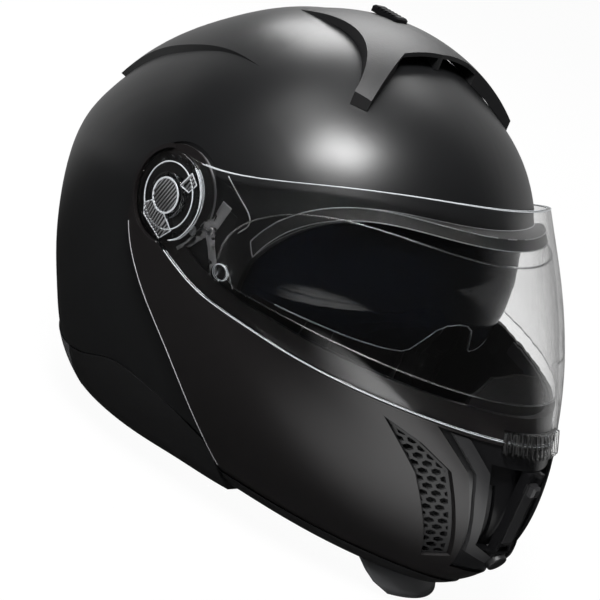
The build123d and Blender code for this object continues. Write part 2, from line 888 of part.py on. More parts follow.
def button_well():
    """Room that the release button needs when it is pressed home."""
    rod = Cylinder(button_radius + seat_gap, overrun, align=(Align.CENTER, Align.CENTER, Align.MIN))
    place = Pos(0, -button_ahead, -button_drop) * Rot(90 + button_lean, 0, 0)
    return place * Pos(0, 0, -button_travel - seat_gap) * rod


def make_release_button():
    body = button_rod(button_radius, button_length)
    return fillet(body.edges().sort_by(Axis.Y)[0], button_round)


def make_chin_trim():
    """Lower edge moulding along the whole chin bar."""
    zone = front_zone(-split_gap, arm_radius) & level_block(-trim_base, -trim_top)
    return chin_layer(-trim_proud, chin_wall, zone) - drum(-drum_gap)


def make_chin_curtain():
    """Flexible lip under the chin that closes the gap to the neck."""
    zone = level_block(-rim_drop, -curtain_top) & ahead_block(curtain_ahead)
    inner = chin_wall + inner_gap
    return chin_layer(inner, inner + curtain_wall, zone)


def make_chin_foam():
    """Energy foam behind the front of the chin bar."""
    zone = level_block(-foam_low, -foam_top) & ahead_block(foam_ahead)
    return chin_layer(foam_inset, foam_inset + foam_wall, zone) - button_well()


def make_breath_guard():
    """Soft deflector that stands on the chin foam behind the louvred strip."""
    zone = level_block(-foam_top, 0) & front_block(mirrored_points(guard_shares))
    return chin_layer(foam_inset, foam_inset + guard_wall, zone)


def make_demist_strip():
    """Louvred strip along the chin bar's upper edge that blows air up the visor."""
    depth = arm_inset + arm_wall + inner_gap
    zone = level_block(-demist_low, -demist_high) & ahead_block(demist_ahead)
    body = chin_layer(depth, depth + demist_wall, zone)
    height = demist_low - demist_high - 2 * demist_edge
    slot = Box(demist_slot, overrun, height, align=(Align.CENTER, Align.MAX, Align.CENTER))
    for i in range(-demist_slots, demist_slots + 1):
        x = i * (demist_slot + demist_rib)
        body -= Pos(x, 0, -(demist_low + demist_high) / 2) * slot
    return body


def visor_outline():
    """Side view of the visor."""
    top = Spline(*[spot(p) for p in visor_top_shares])
    low = Spline(*[spot(p) for p in visor_low_shares])
    face = Plane.YZ * make_face([top, Line(top @ 1, low @ 1), low, Line(low @ 0, top @ 0)])
    return extrude(face, amount=overrun, both=True)


def make_visor():
    body = (face_skin(0) & visor_outline()) - face_skin(visor_wall)
    body -= hinge_disc(visor_end_radius, 0, overrun)
    body += hinge_disc(visor_end_radius, visor_low_level, visor_top_level)
    body -= hinge_disc(hub_radius + run_gap, 0, overrun)
    return body - both_sides(fog_pin_rod(fog_pin_radius + run_gap, overrun))


def make_visor_tab():
    """Ribbed lift tab on the visor's lower edge."""
    zone = level_block(-tab_low, -tab_top) & ahead_block(tab_half_width)
    zone &= Box(2 * tab_half_width, 2 * overrun, 2 * overrun)
    body = chin_layer(-tab_proud, -inner_gap, zone)
    ribs = chin_layer(-tab_proud, -inner_gap - tab_rib_base, zone)
    for i in range(-tab_ribs, tab_ribs + 1):
        x = i * tab_half_width / (tab_ribs + 1)
        body -= ribs & Pos(x, 0, 0) * Box(tab_groove, 2 * overrun, 2 * overrun)
    return body


def fog_pin_place():
    ahead, above = fog_pin_ahead, fog_pin_above
    x = flank_x(face_ring_shares, face_flank, half_width, ahead, above)
    lean = radians(fog_pin_lean)
    return Plane(origin=(x, -ahead, above), z_dir=(cos(lean), -sin(lean), 0))


def fog_pin_rod(radius, length):
    return fog_pin_place() * Cylinder(radius, length)


def make_fog_pin():
    """Eccentric pin that clamps the anti-fog lens, slotted for turning."""
    place = fog_pin_place()
    low = fog_lens_depth + fog_lens_wall + fog_pin_head
    body = Cylinder(fog_pin_radius, low + fog_pin_proud, align=(Align.CENTER, Align.CENTER, Align.MAX))
    slot = Box(fog_pin_slot, 2 * fog_pin_radius, 2 * fog_pin_slot)
    return place * (Pos(0, 0, fog_pin_proud) * (body - slot))


def make_fog_lens():
    """Anti-fog lens inside the visor, held between the two pins."""
    zone = side_prism(fog_lens_shares, fog_lens_corner_shares)
    body = chin_layer(fog_lens_depth, fog_lens_depth + fog_lens_wall, zone)
    return body - both_sides(fog_pin_rod(fog_pin_radius + pin_gap, overrun / 4))


def make_eyeport_seal():
    """Rubber seal on the brow of the shell that the visor closes against."""
    band = (face_zone(seal_width, seal_width) - face_zone()) & ahead_block(seal_ahead)
    depth = fog_lens_depth + fog_lens_wall + seal_gap
    body = (face_skin(depth) & band) - shell_skin(-inner_gap)
    return body & drum(0)


def sun_zone():
    """Side view of the tinted visor with its arms, less the nose cut-out."""
    zone = side_prism(sun_top_shares, sun_corner_shares)
    curve = [Vector(x * reach, z * reach) for x, z in sun_edge_shares]
    edge = mirrored_prism(Plane.XZ, curve, [Vector(overrun, curve[-1].Y), Vector(overrun, -overrun)])
    return zone - edge


def make_sun_visor():
    """Tinted visor, part of a bowl turned about its own pivots."""
    body = (sun_bowl(0) & sun_zone()) - sun_bowl(sun_wall)
    body -= both_sides(sun_axis_disc(sun_arm_radius, sun_arm_high, overrun))
    body += both_sides(sun_axis_disc(sun_arm_radius, sun_arm_low, sun_arm_high))
    return body - both_sides(sun_axis_disc(sun_pin_radius + run_gap, 0, overrun))


def make_sun_pin():
    """Shouldered pin that carries one arm of the sun visor."""
    head_low = sun_arm_low - seat_gap - sun_pin_head
    body = sun_axis_disc(sun_pin_head_radius, head_low, sun_arm_low - seat_gap)
    body += sun_axis_disc(sun_pin_radius, sun_arm_low - seat_gap, sun_arm_high + seat_gap)
    body += sun_axis_disc(sun_boss_radius, sun_arm_high + seat_gap, seat_level - shell_wall)
    return body


@cache
def head_space(inset):
    """Room for the head: an ellipsoid that runs down into an oval tube."""
    wide, long, high = [size - inset for size in (head_half_width, head_half_length, head_half_height)]
    tube = extrude(Plane.XY * Ellipse(wide, long), amount=-overrun)
    return Pos(0, head_back, -head_drop) * (scale(Sphere(1), by=(wide, long, high)) + tube)


def cheek_block(low, high, margin):
    """Block on the left between two side distances where the cheek parts sit."""
    near, far = cheek_near + margin, cheek_far
    block = ahead_block(near, far) & level_block(-cheek_low, -cheek_top - margin)
    return block & Pos(low, 0, 0) * Box(high - low, overrun, overrun, align=(Align.MIN, Align.CENTER, Align.CENTER))


def make_eps_liner():
    """Impact foam over the head, open for the face, the cheeks and the sun visor."""
    body = cavity(foam_gap) & level_block(-liner_low, reach)
    body -= head_space(0)
    body -= face_zone(foam_setback, foam_setback)
    body -= ahead_block(cheek_near) & level_block(-overrun, -cheek_top)
    body -= ahead_block(sun_slot_ahead) - sun_bowl(sun_wall + sun_slot_gap)
    body -= both_sides(sun_axis_disc(sun_arm_radius, sun_foam_low, overrun))
    return body - both_sides(anchor_rod(anchor_radius + pin_gap, 0))


def make_eps_cheek():
    block = cheek_block(cheek_foam_side, overrun, foam_gap - shell_wall)
    return (cavity(foam_gap) & block) - face_zone(foam_setback, 0)


def make_cheek_pad():
    """Soft pad on the cheek foam with rounded edges."""
    block = cheek_block(cheek_foam_side - cheek_pad_wall, cheek_foam_side - inner_gap, foam_gap - shell_wall)
    block &= ahead_block(-overrun, cheek_pad_far)
    return fillet(block.faces().sort_by(Axis.X)[0].edges(), cheek_pad_wall / 3)


def make_crown_pad():
    """Soft pad over the top of the head space."""
    body = (head_space(inner_gap) - head_space(crown_pad_wall)) & level_block(0, reach)
    return body - face_zone(foam_setback, foam_setback)


def make_neck_roll():
    """Padded roll that closes the back of the neck opening."""
    zone = level_block(-neck_low, -liner_low - seat_gap) & ahead_block(-overrun, -neck_near)
    return (cavity(foam_gap) & zone) - head_space(0)


def strap_plate(points, width):
    """Webbing of one thickness along a front view path."""
    path = Polyline(*[(x, z) for x, z in points])
    band = Plane.XZ * offset(path, amount=strap_wall / 2, side=Side.BOTH, closed=True)
    face = make_face(band)
    return Pos(0, strap_back + width / 2, 0) * extrude(face, amount=width)


def anchor_rod(radius, inset):
    rod = side_pin(radius, -strap_back, -anchor_drop, strap_side, overrun)
    return rod & cavity(foam_gap + inset)


def make_strap_anchor():
    """Rivet that holds the webbing to the shell, with a broad head."""
    head_high = strap_side - strap_wall / 2 - run_gap
    head = side_pin(anchor_head_radius, -strap_back, -anchor_drop, head_high - strap_wall, head_high)
    shank = side_pin(anchor_radius, -strap_back, -anchor_drop, head_high, strap_side)
    return head + shank + anchor_rod(anchor_radius, 0)


def make_strap(points):
    hole = side_pin(anchor_radius + run_gap, -strap_back, -anchor_drop, 0, overrun)
    return strap_plate(points, strap_width) - both_sides(hole)


def buckle_plane():
    """Plane at the middle of the buckle: X along the strap down, Z away from the jaw."""
    along = Vector(strap_corner[0], 0, strap_corner[1]) - Vector(strap_side, 0, -strap_bend)
    along = along.normalized()
    centre = Vector(strap_side, strap_back, -strap_bend) + along * buckle_along
    return Plane(origin=centre, x_dir=along, z_dir=(-along.Z, 0, along.X))


def make_buckle_body():
    """Channel body that the tongue slides into, with ears for the lever."""
    body = Box(buckle_length, buckle_width, buckle_height)
    body -= Box(buckle_length, strap_width + 2 * inner_gap, strap_wall + 2 * inner_gap)
    side = (buckle_width - ear_wall) / 2
    ear = Box(ear_length, ear_wall, ear_height, align=(Align.CENTER, Align.CENTER, Align.MIN))
    for place in (side, -side):
        body += Pos(-ear_back, place, buckle_height / 2) * ear
    body -= lever_axle(axle_radius + run_gap, buckle_width)
    return buckle_plane() * body


def lever_axle(radius, length):
    return Pos(-ear_back, 0, buckle_height / 2 + axle_rise) * Rot(90, 0, 0) * Cylinder(radius, length)


def make_buckle_lever():
    """Release lever on its axle, with a finger lip at the free end."""
    inner = buckle_width - 2 * ear_wall - 2 * inner_gap
    out = (Align.MIN, Align.CENTER, Align.CENTER)
    plate = Box(lever_plate_length, inner, lever_plate_wall, align=out)
    lip = Pos(lever_plate_length, 0, 0) * Rot(0, lip_lean, 0) * Box(lip_length, inner, lever_plate_wall, align=out)
    body = Pos(-ear_back, 0, buckle_height / 2 + axle_rise) * (plate + lip)
    body += lever_axle(lever_knuckle, inner) + lever_axle(axle_radius, buckle_width)
    return buckle_plane() * body


def make_buckle_tongue():
    """Toothed tongue plate on the long strap's end."""
    out = (Align.MIN, Align.CENTER, Align.CENTER)
    body = Box(tongue_length, strap_width, strap_wall, align=out)
    for i in range(tongue_teeth):
        x = tongue_pitch * (i + 1)
        body -= Pos(x, 0, strap_wall / 2) * Rot(0, 45, 0) * Box(1, 2 * strap_width, 1)
    return buckle_plane() * Pos(tongue_start, 0, 0) * body


def along_strap(distance):
    """Place on the slanted run of the left strap, from its upper bend."""
    run = Vector(strap_corner[0] - strap_side, strap_corner[1] + strap_bend)
    place = Vector(strap_side, -strap_bend) + run.normalized() * distance
    return (place.X, place.Y)


left_path = ((strap_side, -strap_top), (strap_side, -strap_bend), along_strap(strap_short_end))
right_path = (
    (-strap_side, -strap_top), (-strap_side, -strap_bend), (-strap_corner[0], strap_corner[1]),
    (0, -strap_bottom), strap_corner, along_strap(strap_long_end),
)

nodes = {
    "outer_shell": make_outer_shell(),
    "rear_band": make_rear_band(),
    "side_trim_left": make_side_trim(1),
    "side_trim_right": make_side_trim(-1),
    "exhaust_cover": make_exhaust(),
    "top_vent_cover": make_vent_cover(),
    "top_vent_knob": make_vent_knob(),
    "sun_visor_lever": make_sun_lever(),
    "chin_bar": make_chin_bar(),
    "chin_trim": make_chin_trim(),
    "chin_curtain": make_chin_curtain(),
    "chin_foam": make_chin_foam(),
    "breath_guard": make_breath_guard(),
    "demist_strip": make_demist_strip(),
    "intake_panel": make_intake_panel(),
    "chin_vent_flap": make_vent_flap(),
    "release_button": make_release_button(),
    "visor": make_visor(),
    "visor_tab": make_visor_tab(),
    "fog_lens": make_fog_lens(),
    "eyeport_seal": make_eyeport_seal(),
    "sun_visor": make_sun_visor(),
    "eps_liner": make_eps_liner(),
    "crown_pad": make_crown_pad(),
    "neck_roll": make_neck_roll(),
    "chin_strap_left": make_strap(left_path),
    "chin_strap_right": make_strap(right_path),
    "buckle_body": make_buckle_body(),
    "buckle_lever": make_buckle_lever(),
    "buckle_tongue": make_buckle_tongue(),
}
pairs = {
    "base_plate": make_base_plate(),
    "pivot_cap": make_pivot_cap(),
    "ratchet": make_ratchet(),
    "gear": make_gear(),
    "arm_screw": make_arm_screw(),
    "side_bracket": make_side_bracket(),
    "side_grille": make_side_grille(),
    "mouth_trim": make_mouth_trim(),
    "latch_hook": make_latch_hook(),
    "striker": make_striker(),
    "fog_pin": make_fog_pin(),
    "sun_visor_pin": make_sun_pin(),
    "eps_cheek": make_eps_cheek(),
    "cheek_pad": make_cheek_pad(),
    "strap_anchor": make_strap_anchor(),
}
for name, shape in pairs.items():
    nodes[name + "_left"] = shape
    nodes[name + "_right"] = mirror_x(shape)

# Move everything so that the rim plane is the floor and the length is centred
boxes = [shape.bounding_box() for shape in nodes.values()]
middle = (min(box.min.Y for box in boxes) + max(box.max.Y for box in boxes)) / 2
for name, shape in nodes.items():
    export_step(Pos(0, -middle, rim_drop) * shape, "parts/" + name + ".step")
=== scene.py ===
import bpy, bmesh, math
from mathutils import Vector, Matrix
from mathutils.bvhtree import BVHTree


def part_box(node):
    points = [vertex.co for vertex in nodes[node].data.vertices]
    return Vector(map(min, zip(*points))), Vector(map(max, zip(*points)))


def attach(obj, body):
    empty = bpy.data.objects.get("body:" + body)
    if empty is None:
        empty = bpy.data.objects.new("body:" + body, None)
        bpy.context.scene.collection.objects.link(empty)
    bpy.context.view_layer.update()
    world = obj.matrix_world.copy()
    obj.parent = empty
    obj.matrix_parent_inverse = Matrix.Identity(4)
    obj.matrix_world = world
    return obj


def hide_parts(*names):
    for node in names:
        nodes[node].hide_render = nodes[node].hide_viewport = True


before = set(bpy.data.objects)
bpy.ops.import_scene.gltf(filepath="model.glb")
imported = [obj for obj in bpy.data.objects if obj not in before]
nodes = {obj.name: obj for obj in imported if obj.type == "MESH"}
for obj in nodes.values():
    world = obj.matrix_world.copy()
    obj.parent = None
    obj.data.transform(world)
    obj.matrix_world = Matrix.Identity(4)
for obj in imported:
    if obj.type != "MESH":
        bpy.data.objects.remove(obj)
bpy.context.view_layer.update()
scene = bpy.context.scene


# Places read off the frame
def middleOf(node):
    low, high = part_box(node)
    return (low + high) / 2


hingeSpot = middleOf("pivot_cap_left")
hingeSpot.x = 0.0
hingeRise = 9.5  # mm from the middle of the widest section up to the hinge
widestSpot = hingeSpot - Vector((0, 0, hingeRise / 1000))

# Camera
cameraLook = {
    "azimuth": -51.04, "elevation": 15.50, "roll": 22.37,
    "distance": 1.186, "lens": 122.9, "sensor": 36, "nearest": 0.05,
    "aimRight": -0.00903, "aimUp": -0.04505,
}


def placeCamera(look):
    turn, rise = math.radians(look["azimuth"]), math.radians(look["elevation"])
    back = Vector((math.sin(turn) * math.cos(rise), -math.cos(turn) * math.cos(rise), math.sin(rise)))
    right = Vector((0, 0, 1)).cross(back).normalized()
    up = back.cross(right)
    roll = math.radians(look["roll"])
    rolledRight = right * math.cos(roll) + up * math.sin(roll)
    rolledUp = up * math.cos(roll) - right * math.sin(roll)
    place = widestSpot + back * look["distance"]
    target = widestSpot + rolledRight * look["aimRight"] + rolledUp * look["aimUp"]
    zAxis = (place - target).normalized()
    xAxis = rolledUp.cross(zAxis).normalized()
    yAxis = zAxis.cross(xAxis)
    data = bpy.data.cameras.new("studioCamera")
    data.lens, data.sensor_width, data.clip_start = look["lens"], look["sensor"], look["nearest"]
    camera = bpy.data.objects.new("studioCamera", data)
    turnMatrix = Matrix((xAxis, yAxis, zAxis)).transposed().to_4x4()
    camera.matrix_world = Matrix.Translation(place) @ turnMatrix
    scene.collection.objects.link(camera)
    scene.camera = camera


placeCamera(cameraLook)
scene.view_settings.view_transform = "Standard"
print("camera placed")


# Lights, floor and backdrop
lampTable = {
    "keySoftbox": {"place": (-0.72, -0.25, 1.42), "size": (0.6, 0.5), "power": 36},
    "rearSoftbox": {"place": (0.62, 0.88, 1.30), "size": (0.9, 0.8), "power": 19},
}


def addLamp(name, spec):
    data = bpy.data.lights.new(name, "AREA")
    data.shape = "RECTANGLE"
    data.size, data.size_y = spec["size"]
    data.energy = spec["power"]
    lamp = bpy.data.objects.new(name, data)
    lamp.location = spec["place"]
    aim = widestSpot - Vector(spec["place"])
    lamp.rotation_euler = aim.to_track_quat("-Z", "Y").to_euler()
    lamp.visible_camera = False
    scene.collection.objects.link(lamp)


for lampName, lampSpec in lampTable.items():
    addLamp(lampName, lampSpec)

# white paper behind the helmet, a darker room in front of it
backdropLook = {"fill": 0.16, "floorWhite": 0.82, "floorGlow": 0.96, "roomDark": 0.03, "paperWhite": 0.41,
                "wayBack": (0.777, 0.630, 0.0), "sweepStart": 0.22, "sweepEnd": 0.68,
                # gleam: a glowing floor patch seen only in glosses, a painted highlight on the chin
                "gleamSpot": (-0.20, -0.30, 0.0), "gleamNear": 0.09, "gleamFar": 0.22, "gleam": 2.6,
                "floorLevel": -0.009, "floorHalf": 6, "skyReach": 1.0, "floorReach": 0.8}


def mathNode(tree, kind, first, second):
    node = tree.nodes.new("ShaderNodeMath")
    node.operation = kind
    for place, value in enumerate((first, second)):
        if isinstance(value, (int, float)):
            node.inputs[place].default_value = value
        else:
            tree.links.new(value, node.inputs[place])
    return node.outputs[0]


# rays that see the white paper straight or through glass, and rays that see it in a gloss
def rayFlags(tree):
    path = tree.nodes.new("ShaderNodeLightPath")
    notScattered = mathNode(tree, "LESS_THAN", path.outputs["Diffuse Depth"], 0.5)
    notMirrored = mathNode(tree, "LESS_THAN", path.outputs["Glossy Depth"], 0.5)
    plain = mathNode(tree, "MULTIPLY", notScattered, notMirrored)
    through = mathNode(tree, "MULTIPLY", path.outputs["Is Transmission Ray"], plain)
    straight = mathNode(tree, "MAXIMUM", path.outputs["Is Camera Ray"], through)
    mirrored = mathNode(tree, "MULTIPLY", path.outputs["Is Glossy Ray"], notScattered)
    return straight, mirrored


def paperShare(tree, place, look, reach):
    along = tree.nodes.new("ShaderNodeVectorMath")
    along.operation = "DOT_PRODUCT"
    along.inputs[1].default_value = look["wayBack"]
    tree.links.new(place, along.inputs[0])
    share = tree.nodes.new("ShaderNodeMapRange")
    share.interpolation_type = "SMOOTHSTEP"
    share.inputs["From Min"].default_value = look["sweepStart"] * look[reach]
    share.inputs["From Max"].default_value = look["sweepEnd"] * look[reach]
    share.inputs["To Min"].default_value = look["roomDark"]
    share.inputs["To Max"].default_value = look["paperWhite"]
    tree.links.new(along.outputs["Value"], share.inputs["Value"])
    return share.outputs[0]


# glowing patch of the floor ahead of the helmet's right side, which glosses alone see: a painted highlight
# in the chin's gloss
def gleamShare(tree, place, look):
    away = tree.nodes.new("ShaderNodeVectorMath")
    away.operation = "DISTANCE"
    away.inputs[1].default_value = look["gleamSpot"]
    tree.links.new(place, away.inputs[0])
    share = tree.nodes.new("ShaderNodeMapRange")
    share.interpolation_type = "SMOOTHSTEP"
    share.inputs["From Min"].default_value = look["gleamNear"]
    share.inputs["From Max"].default_value = look["gleamFar"]
    share.inputs["To Min"].default_value = look["gleam"]
    share.inputs["To Max"].default_value = 0
    tree.links.new(away.outputs["Value"], share.inputs["Value"])
    return share.outputs[0]


def mixShaders(tree, factor, first, second):
    mix = tree.nodes.new("ShaderNodeMixShader")
    tree.links.new(factor, mix.inputs[0])
    tree.links.new(first, mix.inputs[1])
    tree.links.new(second, mix.inputs[2])
    return mix.outputs[0]


def lightShader(tree, kind, strength=None):
    shader = tree.nodes.new(kind)
    shader.inputs["Color"].default_value = (1, 1, 1, 1)
    if strength is not None:
        tree.links.new(strength, shader.inputs["Strength"])
    return shader


def makeWorld(look):
    world = bpy.data.worlds.new("studioWorld")
    world.use_nodes = True
    tree = world.node_tree
    tree.nodes.clear()
    straight, mirrored = rayFlags(tree)
    way = tree.nodes.new("ShaderNodeTexCoord")
    fill = lightShader(tree, "ShaderNodeBackground")
    fill.inputs["Strength"].default_value = look["fill"]
    white = lightShader(tree, "ShaderNodeBackground")
    paper = paperShare(tree, way.outputs["Generated"], look, "skyReach")
    gloss = lightShader(tree, "ShaderNodeBackground", paper)
    mixed = mixShaders(tree, mirrored, fill.outputs[0], gloss.outputs[0])
    out = tree.nodes.new("ShaderNodeOutputWorld")
    tree.links.new(mixShaders(tree, straight, mixed, white.outputs[0]), out.inputs[0])
    scene.world = world


def makeFloor(look):
    mesh = bpy.data.meshes.new("studioFloor")
    half, level = look["floorHalf"], look["floorLevel"]
    corners = [(x * half, y * half, level) for x, y in ((-1, -1), (1, -1), (1, 1), (-1, 1))]
    mesh.from_pydata(corners, [], [(0, 1, 2, 3)])
    floor = bpy.data.objects.new("studioFloor", mesh)
    scene.collection.objects.link(floor)
    material = bpy.data.materials.new("paleFloor")
    material.use_nodes = True
    tree = material.node_tree
    tree.nodes.clear()
    straight, mirrored = rayFlags(tree)
    spot = tree.nodes.new("ShaderNodeTexCoord")
    matt = tree.nodes.new("ShaderNodeBsdfDiffuse")
    matt.inputs["Color"].default_value = (look["floorWhite"],) * 3 + (1,)
    glow = lightShader(tree, "ShaderNodeEmission")
    paper = paperShare(tree, spot.outputs["Object"], look, "floorReach")
    # floor seen in glosses: the paper tone plus the gleam's painted highlight patch
    seen = mathNode(tree, "ADD", paper, gleamShare(tree, spot.outputs["Object"], look))
    gloss = lightShader(tree, "ShaderNodeEmission", seen)
    mixed = mixShaders(tree, mirrored, matt.outputs[0], gloss.outputs[0])
    share = mathNode(tree, "MULTIPLY", straight, look["floorGlow"])
    out = tree.nodes.new("ShaderNodeOutputMaterial")
    tree.links.new(mixShaders(tree, share, mixed, glow.outputs[0]), out.inputs[0])
    mesh.materials.append(material)


makeWorld(backdropLook)
makeFloor(backdropLook)
print("studio lit")


# Shared effects
def startGroup(name, inputs, outputs):
    group = bpy.data.node_groups.new(name, "ShaderNodeTree")
    for label, value in inputs:
        socket = group.interface.new_socket(label, in_out="INPUT", socket_type="NodeSocketFloat")
        socket.default_value = value
    for label in outputs:
        group.interface.new_socket(label, in_out="OUTPUT", socket_type="NodeSocketFloat")
    return group, group.nodes.new("NodeGroupInput"), group.nodes.new("NodeGroupOutput")


def scaledPlace(group, amount):
    coords = group.nodes.new("ShaderNodeTexCoord")
    node = group.nodes.new("ShaderNodeVectorMath")
    node.operation = "SCALE"
    group.links.new(coords.outputs["Object"], node.inputs[0])
    group.links.new(amount, node.inputs["Scale"])
    return node.outputs[0]


def ranged(tree, value, low, high):
    node = tree.nodes.new("ShaderNodeMapRange")
    node.inputs["To Min"].default_value = low
    node.inputs["To Max"].default_value = high
    tree.links.new(value, node.inputs["Value"])
    return node.outputs[0]


def noiseOver(group, scale, detail):
    noise = group.nodes.new("ShaderNodeTexNoise")
    noise.inputs["Detail"].default_value = detail
    noise.inputs["Scale"].default_value = 1
    group.links.new(scaledPlace(group, scale), noise.inputs["Vector"])
    return noise.outputs["Fac"]


# fine mould grain with a slow drift of its shade
grainLook = {"scale": 900.0, "driftScale": 14.0, "detail": 3, "driftDetail": 2, "fine": 0.45, "drift": 0.55}


def makeGrainGroup(look):
    sockets = [("Scale", look["scale"]), ("Drift Scale", look["driftScale"])]
    group, start, end = startGroup("mouldGrain", sockets, ["Height", "Shade"])
    fine = noiseOver(group, start.outputs["Scale"], look["detail"])
    drift = noiseOver(group, start.outputs["Drift Scale"], look["driftDetail"])
    fineShare = mathNode(group, "MULTIPLY", fine, look["fine"])
    driftShare = mathNode(group, "MULTIPLY", drift, look["drift"])
    group.links.new(fine, end.inputs["Height"])
    group.links.new(mathNode(group, "ADD", fineShare, driftShare), end.inputs["Shade"])
    return group


# beads of moulded foam, their colour darker toward each bead's sunken edge: painted shade between the beads
beadLook = {"scale": 320.0, "dark": 0.7}


def makeBeadGroup(look):
    group, start, end = startGroup("beadFoam", [("Scale", look["scale"])], ["Height", "Shade"])
    cells = group.nodes.new("ShaderNodeTexVoronoi")
    cells.inputs["Scale"].default_value = 1
    group.links.new(scaledPlace(group, start.outputs["Scale"]), cells.inputs["Vector"])
    group.links.new(ranged(group, cells.outputs["Distance"], 1, 0), end.inputs["Height"])
    group.links.new(ranged(group, cells.outputs["Distance"], 1, look["dark"]), end.inputs["Shade"])
    return group


# crossed threads of knitted or woven cloth, lighter where the threads stand up and darker where they sink:
# painted shade between the threads
weaveLook = {"scale": 900.0, "thread": 0.32, "stray": 1.2, "strayScale": 2, "dark": 0.6, "light": 1.15}


def makeWeaveGroup(look):
    group, start, end = startGroup("wovenCloth", [("Scale", look["scale"])], ["Height", "Shade"])
    where = scaledPlace(group, start.outputs["Scale"])
    bands = []
    for direction in ("X", "Y", "Z"):
        wave = group.nodes.new("ShaderNodeTexWave")
        wave.bands_direction = direction
        wave.inputs["Scale"].default_value = look["thread"]
        wave.inputs["Distortion"].default_value = look["stray"]
        wave.inputs["Detail Scale"].default_value = look["strayScale"]
        group.links.new(where, wave.inputs["Vector"])
        bands.append(wave.outputs["Fac"])
    raised = mathNode(group, "MAXIMUM", bands[0], bands[1])
    crossed = mathNode(group, "MULTIPLY", raised, bands[2])
    group.links.new(crossed, end.inputs["Height"])
    group.links.new(ranged(group, crossed, look["dark"], look["light"]), end.inputs["Shade"])
    return group


effectGroups = {"grain": makeGrainGroup(grainLook), "bead": makeBeadGroup(beadLook),
                "weave": makeWeaveGroup(weaveLook)}

# Finishes, each with its colour, range of roughness, effect, the effect's scale and its bump
finishTable = {
    "mattLacquer": {"colour": (0.0062, 0.0064, 0.0069), "rough": (0.30, 0.38),
                    "effect": "grain", "scale": 1500, "bump": 0.05},
    "chinLacquer": {"colour": (0.0074, 0.0064, 0.0066), "rough": (0.30, 0.38),
                    "effect": "grain", "scale": 1500, "bump": 0.05},
    "grainedBlack": {"colour": (0.008, 0.008, 0.0086), "rough": (0.42, 0.56),
                     "effect": "grain", "scale": 800, "bump": 0.16},
    "satinGrey": {"colour": (0.018, 0.018, 0.019), "rough": (0.30, 0.38),
                  "effect": "grain", "scale": 900, "bump": 0.04},
    # pale grey for thin tubes along edges: painted glints
    "edgeGlint": {"colour": (0.42, 0.44, 0.46), "rough": (0.12, 0.2),
                  "effect": "grain", "scale": 900, "bump": 0.02},
    # pale grey for thin tubes on the seal edges, the chin bar's split line and the eyeport lip: painted
    # highlights
    "paintedEdgeHighlight": {"colour": (0.30, 0.30, 0.31), "rough": (0.25, 0.35),
                 "effect": "grain", "scale": 900, "bump": 0.02},
    "rimGrey": {"colour": (0.060, 0.061, 0.064), "rough": (0.38, 0.5),
                "effect": "grain", "scale": 700, "bump": 0.12},
    "glossBlack": {"colour": (0.006, 0.006, 0.0065), "rough": (0.12, 0.2),
                   "effect": "grain", "scale": 400, "bump": 0.02},
    "softRubber": {"colour": (0.015, 0.015, 0.0155), "rough": (0.6, 0.75),
                   "effect": "grain", "scale": 600, "bump": 0.2},
    "dullSteel": {"colour": (0.5, 0.5, 0.51), "rough": (0.26, 0.4),
                  "effect": "grain", "scale": 500, "bump": 0.04, "metal": 1},
    "mechanismGrey": {"colour": (0.13, 0.13, 0.135), "rough": (0.34, 0.46),
                      "effect": "grain", "scale": 600, "bump": 0.08},
    "darkFoam": {"colour": (0.02, 0.02, 0.021), "rough": (0.75, 0.9),
                 "effect": "bead", "scale": 320, "bump": 0.35},
    "padCloth": {"colour": (0.014, 0.014, 0.016), "rough": (0.85, 0.95),
                 "effect": "weave", "scale": 1000, "bump": 0.3, "sheen": 0.35},
    "strapCloth": {"colour": (0.009, 0.009, 0.010), "rough": (0.75, 0.9),
                   "effect": "weave", "scale": 1500, "bump": 0.5, "sheen": 0.2},
}
shadeSpread = 0.18  # how far the effect darkens and lightens a colour
bumpReach = 0.0004

# clear and tinted plastics, with the share of light let through and the scale of a faint haze
glassTable = {
    "visorClear": {"colour": (1.0, 1.0, 1.0), "rough": (0.0, 0.02), "ior": 1.38, "through": 1, "haze": 90},
    "tabClear": {"colour": (1.0, 1.0, 1.0), "rough": (0.02, 0.04), "ior": 1.7, "through": 1, "haze": 90},
    "polishedEdge": {"colour": (0.98, 0.99, 1.0), "rough": (0.1, 0.12), "ior": 1.6, "through": 1,
                     "haze": 90},
    "mechanismClear": {"colour": (0.9, 0.92, 0.93), "rough": (0.04, 0.06), "ior": 1.5, "through": 1,
                       "haze": 90},
    "smokeTint": {"colour": (0.0045, 0.0065, 0.0105), "rough": (0.02, 0.06), "ior": 1.34, "through": 0.12,
                  "haze": 60},
}


def startMaterial(name, effect, scale):
    material = bpy.data.materials.new(name)
    material.use_nodes = True
    tree = material.node_tree
    group = tree.nodes.new("ShaderNodeGroup")
    group.node_tree = effectGroups[effect]
    group.inputs["Scale"].default_value = scale
    return material, tree, tree.nodes["Principled BSDF"], group


def makeFinish(name, spec):
    material, tree, shader, effect = startMaterial(name, spec["effect"], spec["scale"])
    ramp = tree.nodes.new("ShaderNodeMix")
    ramp.data_type = "RGBA"
    for end, share in (("A", 1 - shadeSpread), ("B", 1 + shadeSpread)):
        ramp.inputs[end].default_value = tuple(c * share for c in spec["colour"]) + (1,)
    tree.links.new(effect.outputs["Shade"], ramp.inputs["Factor"])
    tree.links.new(ramp.outputs["Result"], shader.inputs["Base Color"])
    tree.links.new(ranged(tree, effect.outputs["Shade"], *spec["rough"]), shader.inputs["Roughness"])
    bump = tree.nodes.new("ShaderNodeBump")
    bump.inputs["Strength"].default_value = spec["bump"]
    bump.inputs["Distance"].default_value = bumpReach
    tree.links.new(effect.outputs["Height"], bump.inputs["Height"])
    tree.links.new(bump.outputs[0], shader.inputs["Normal"])
    shader.inputs["Metallic"].default_value = spec.get("metal", 0)
    shader.inputs["Sheen Weight"].default_value = spec.get("sheen", 0)
    return material


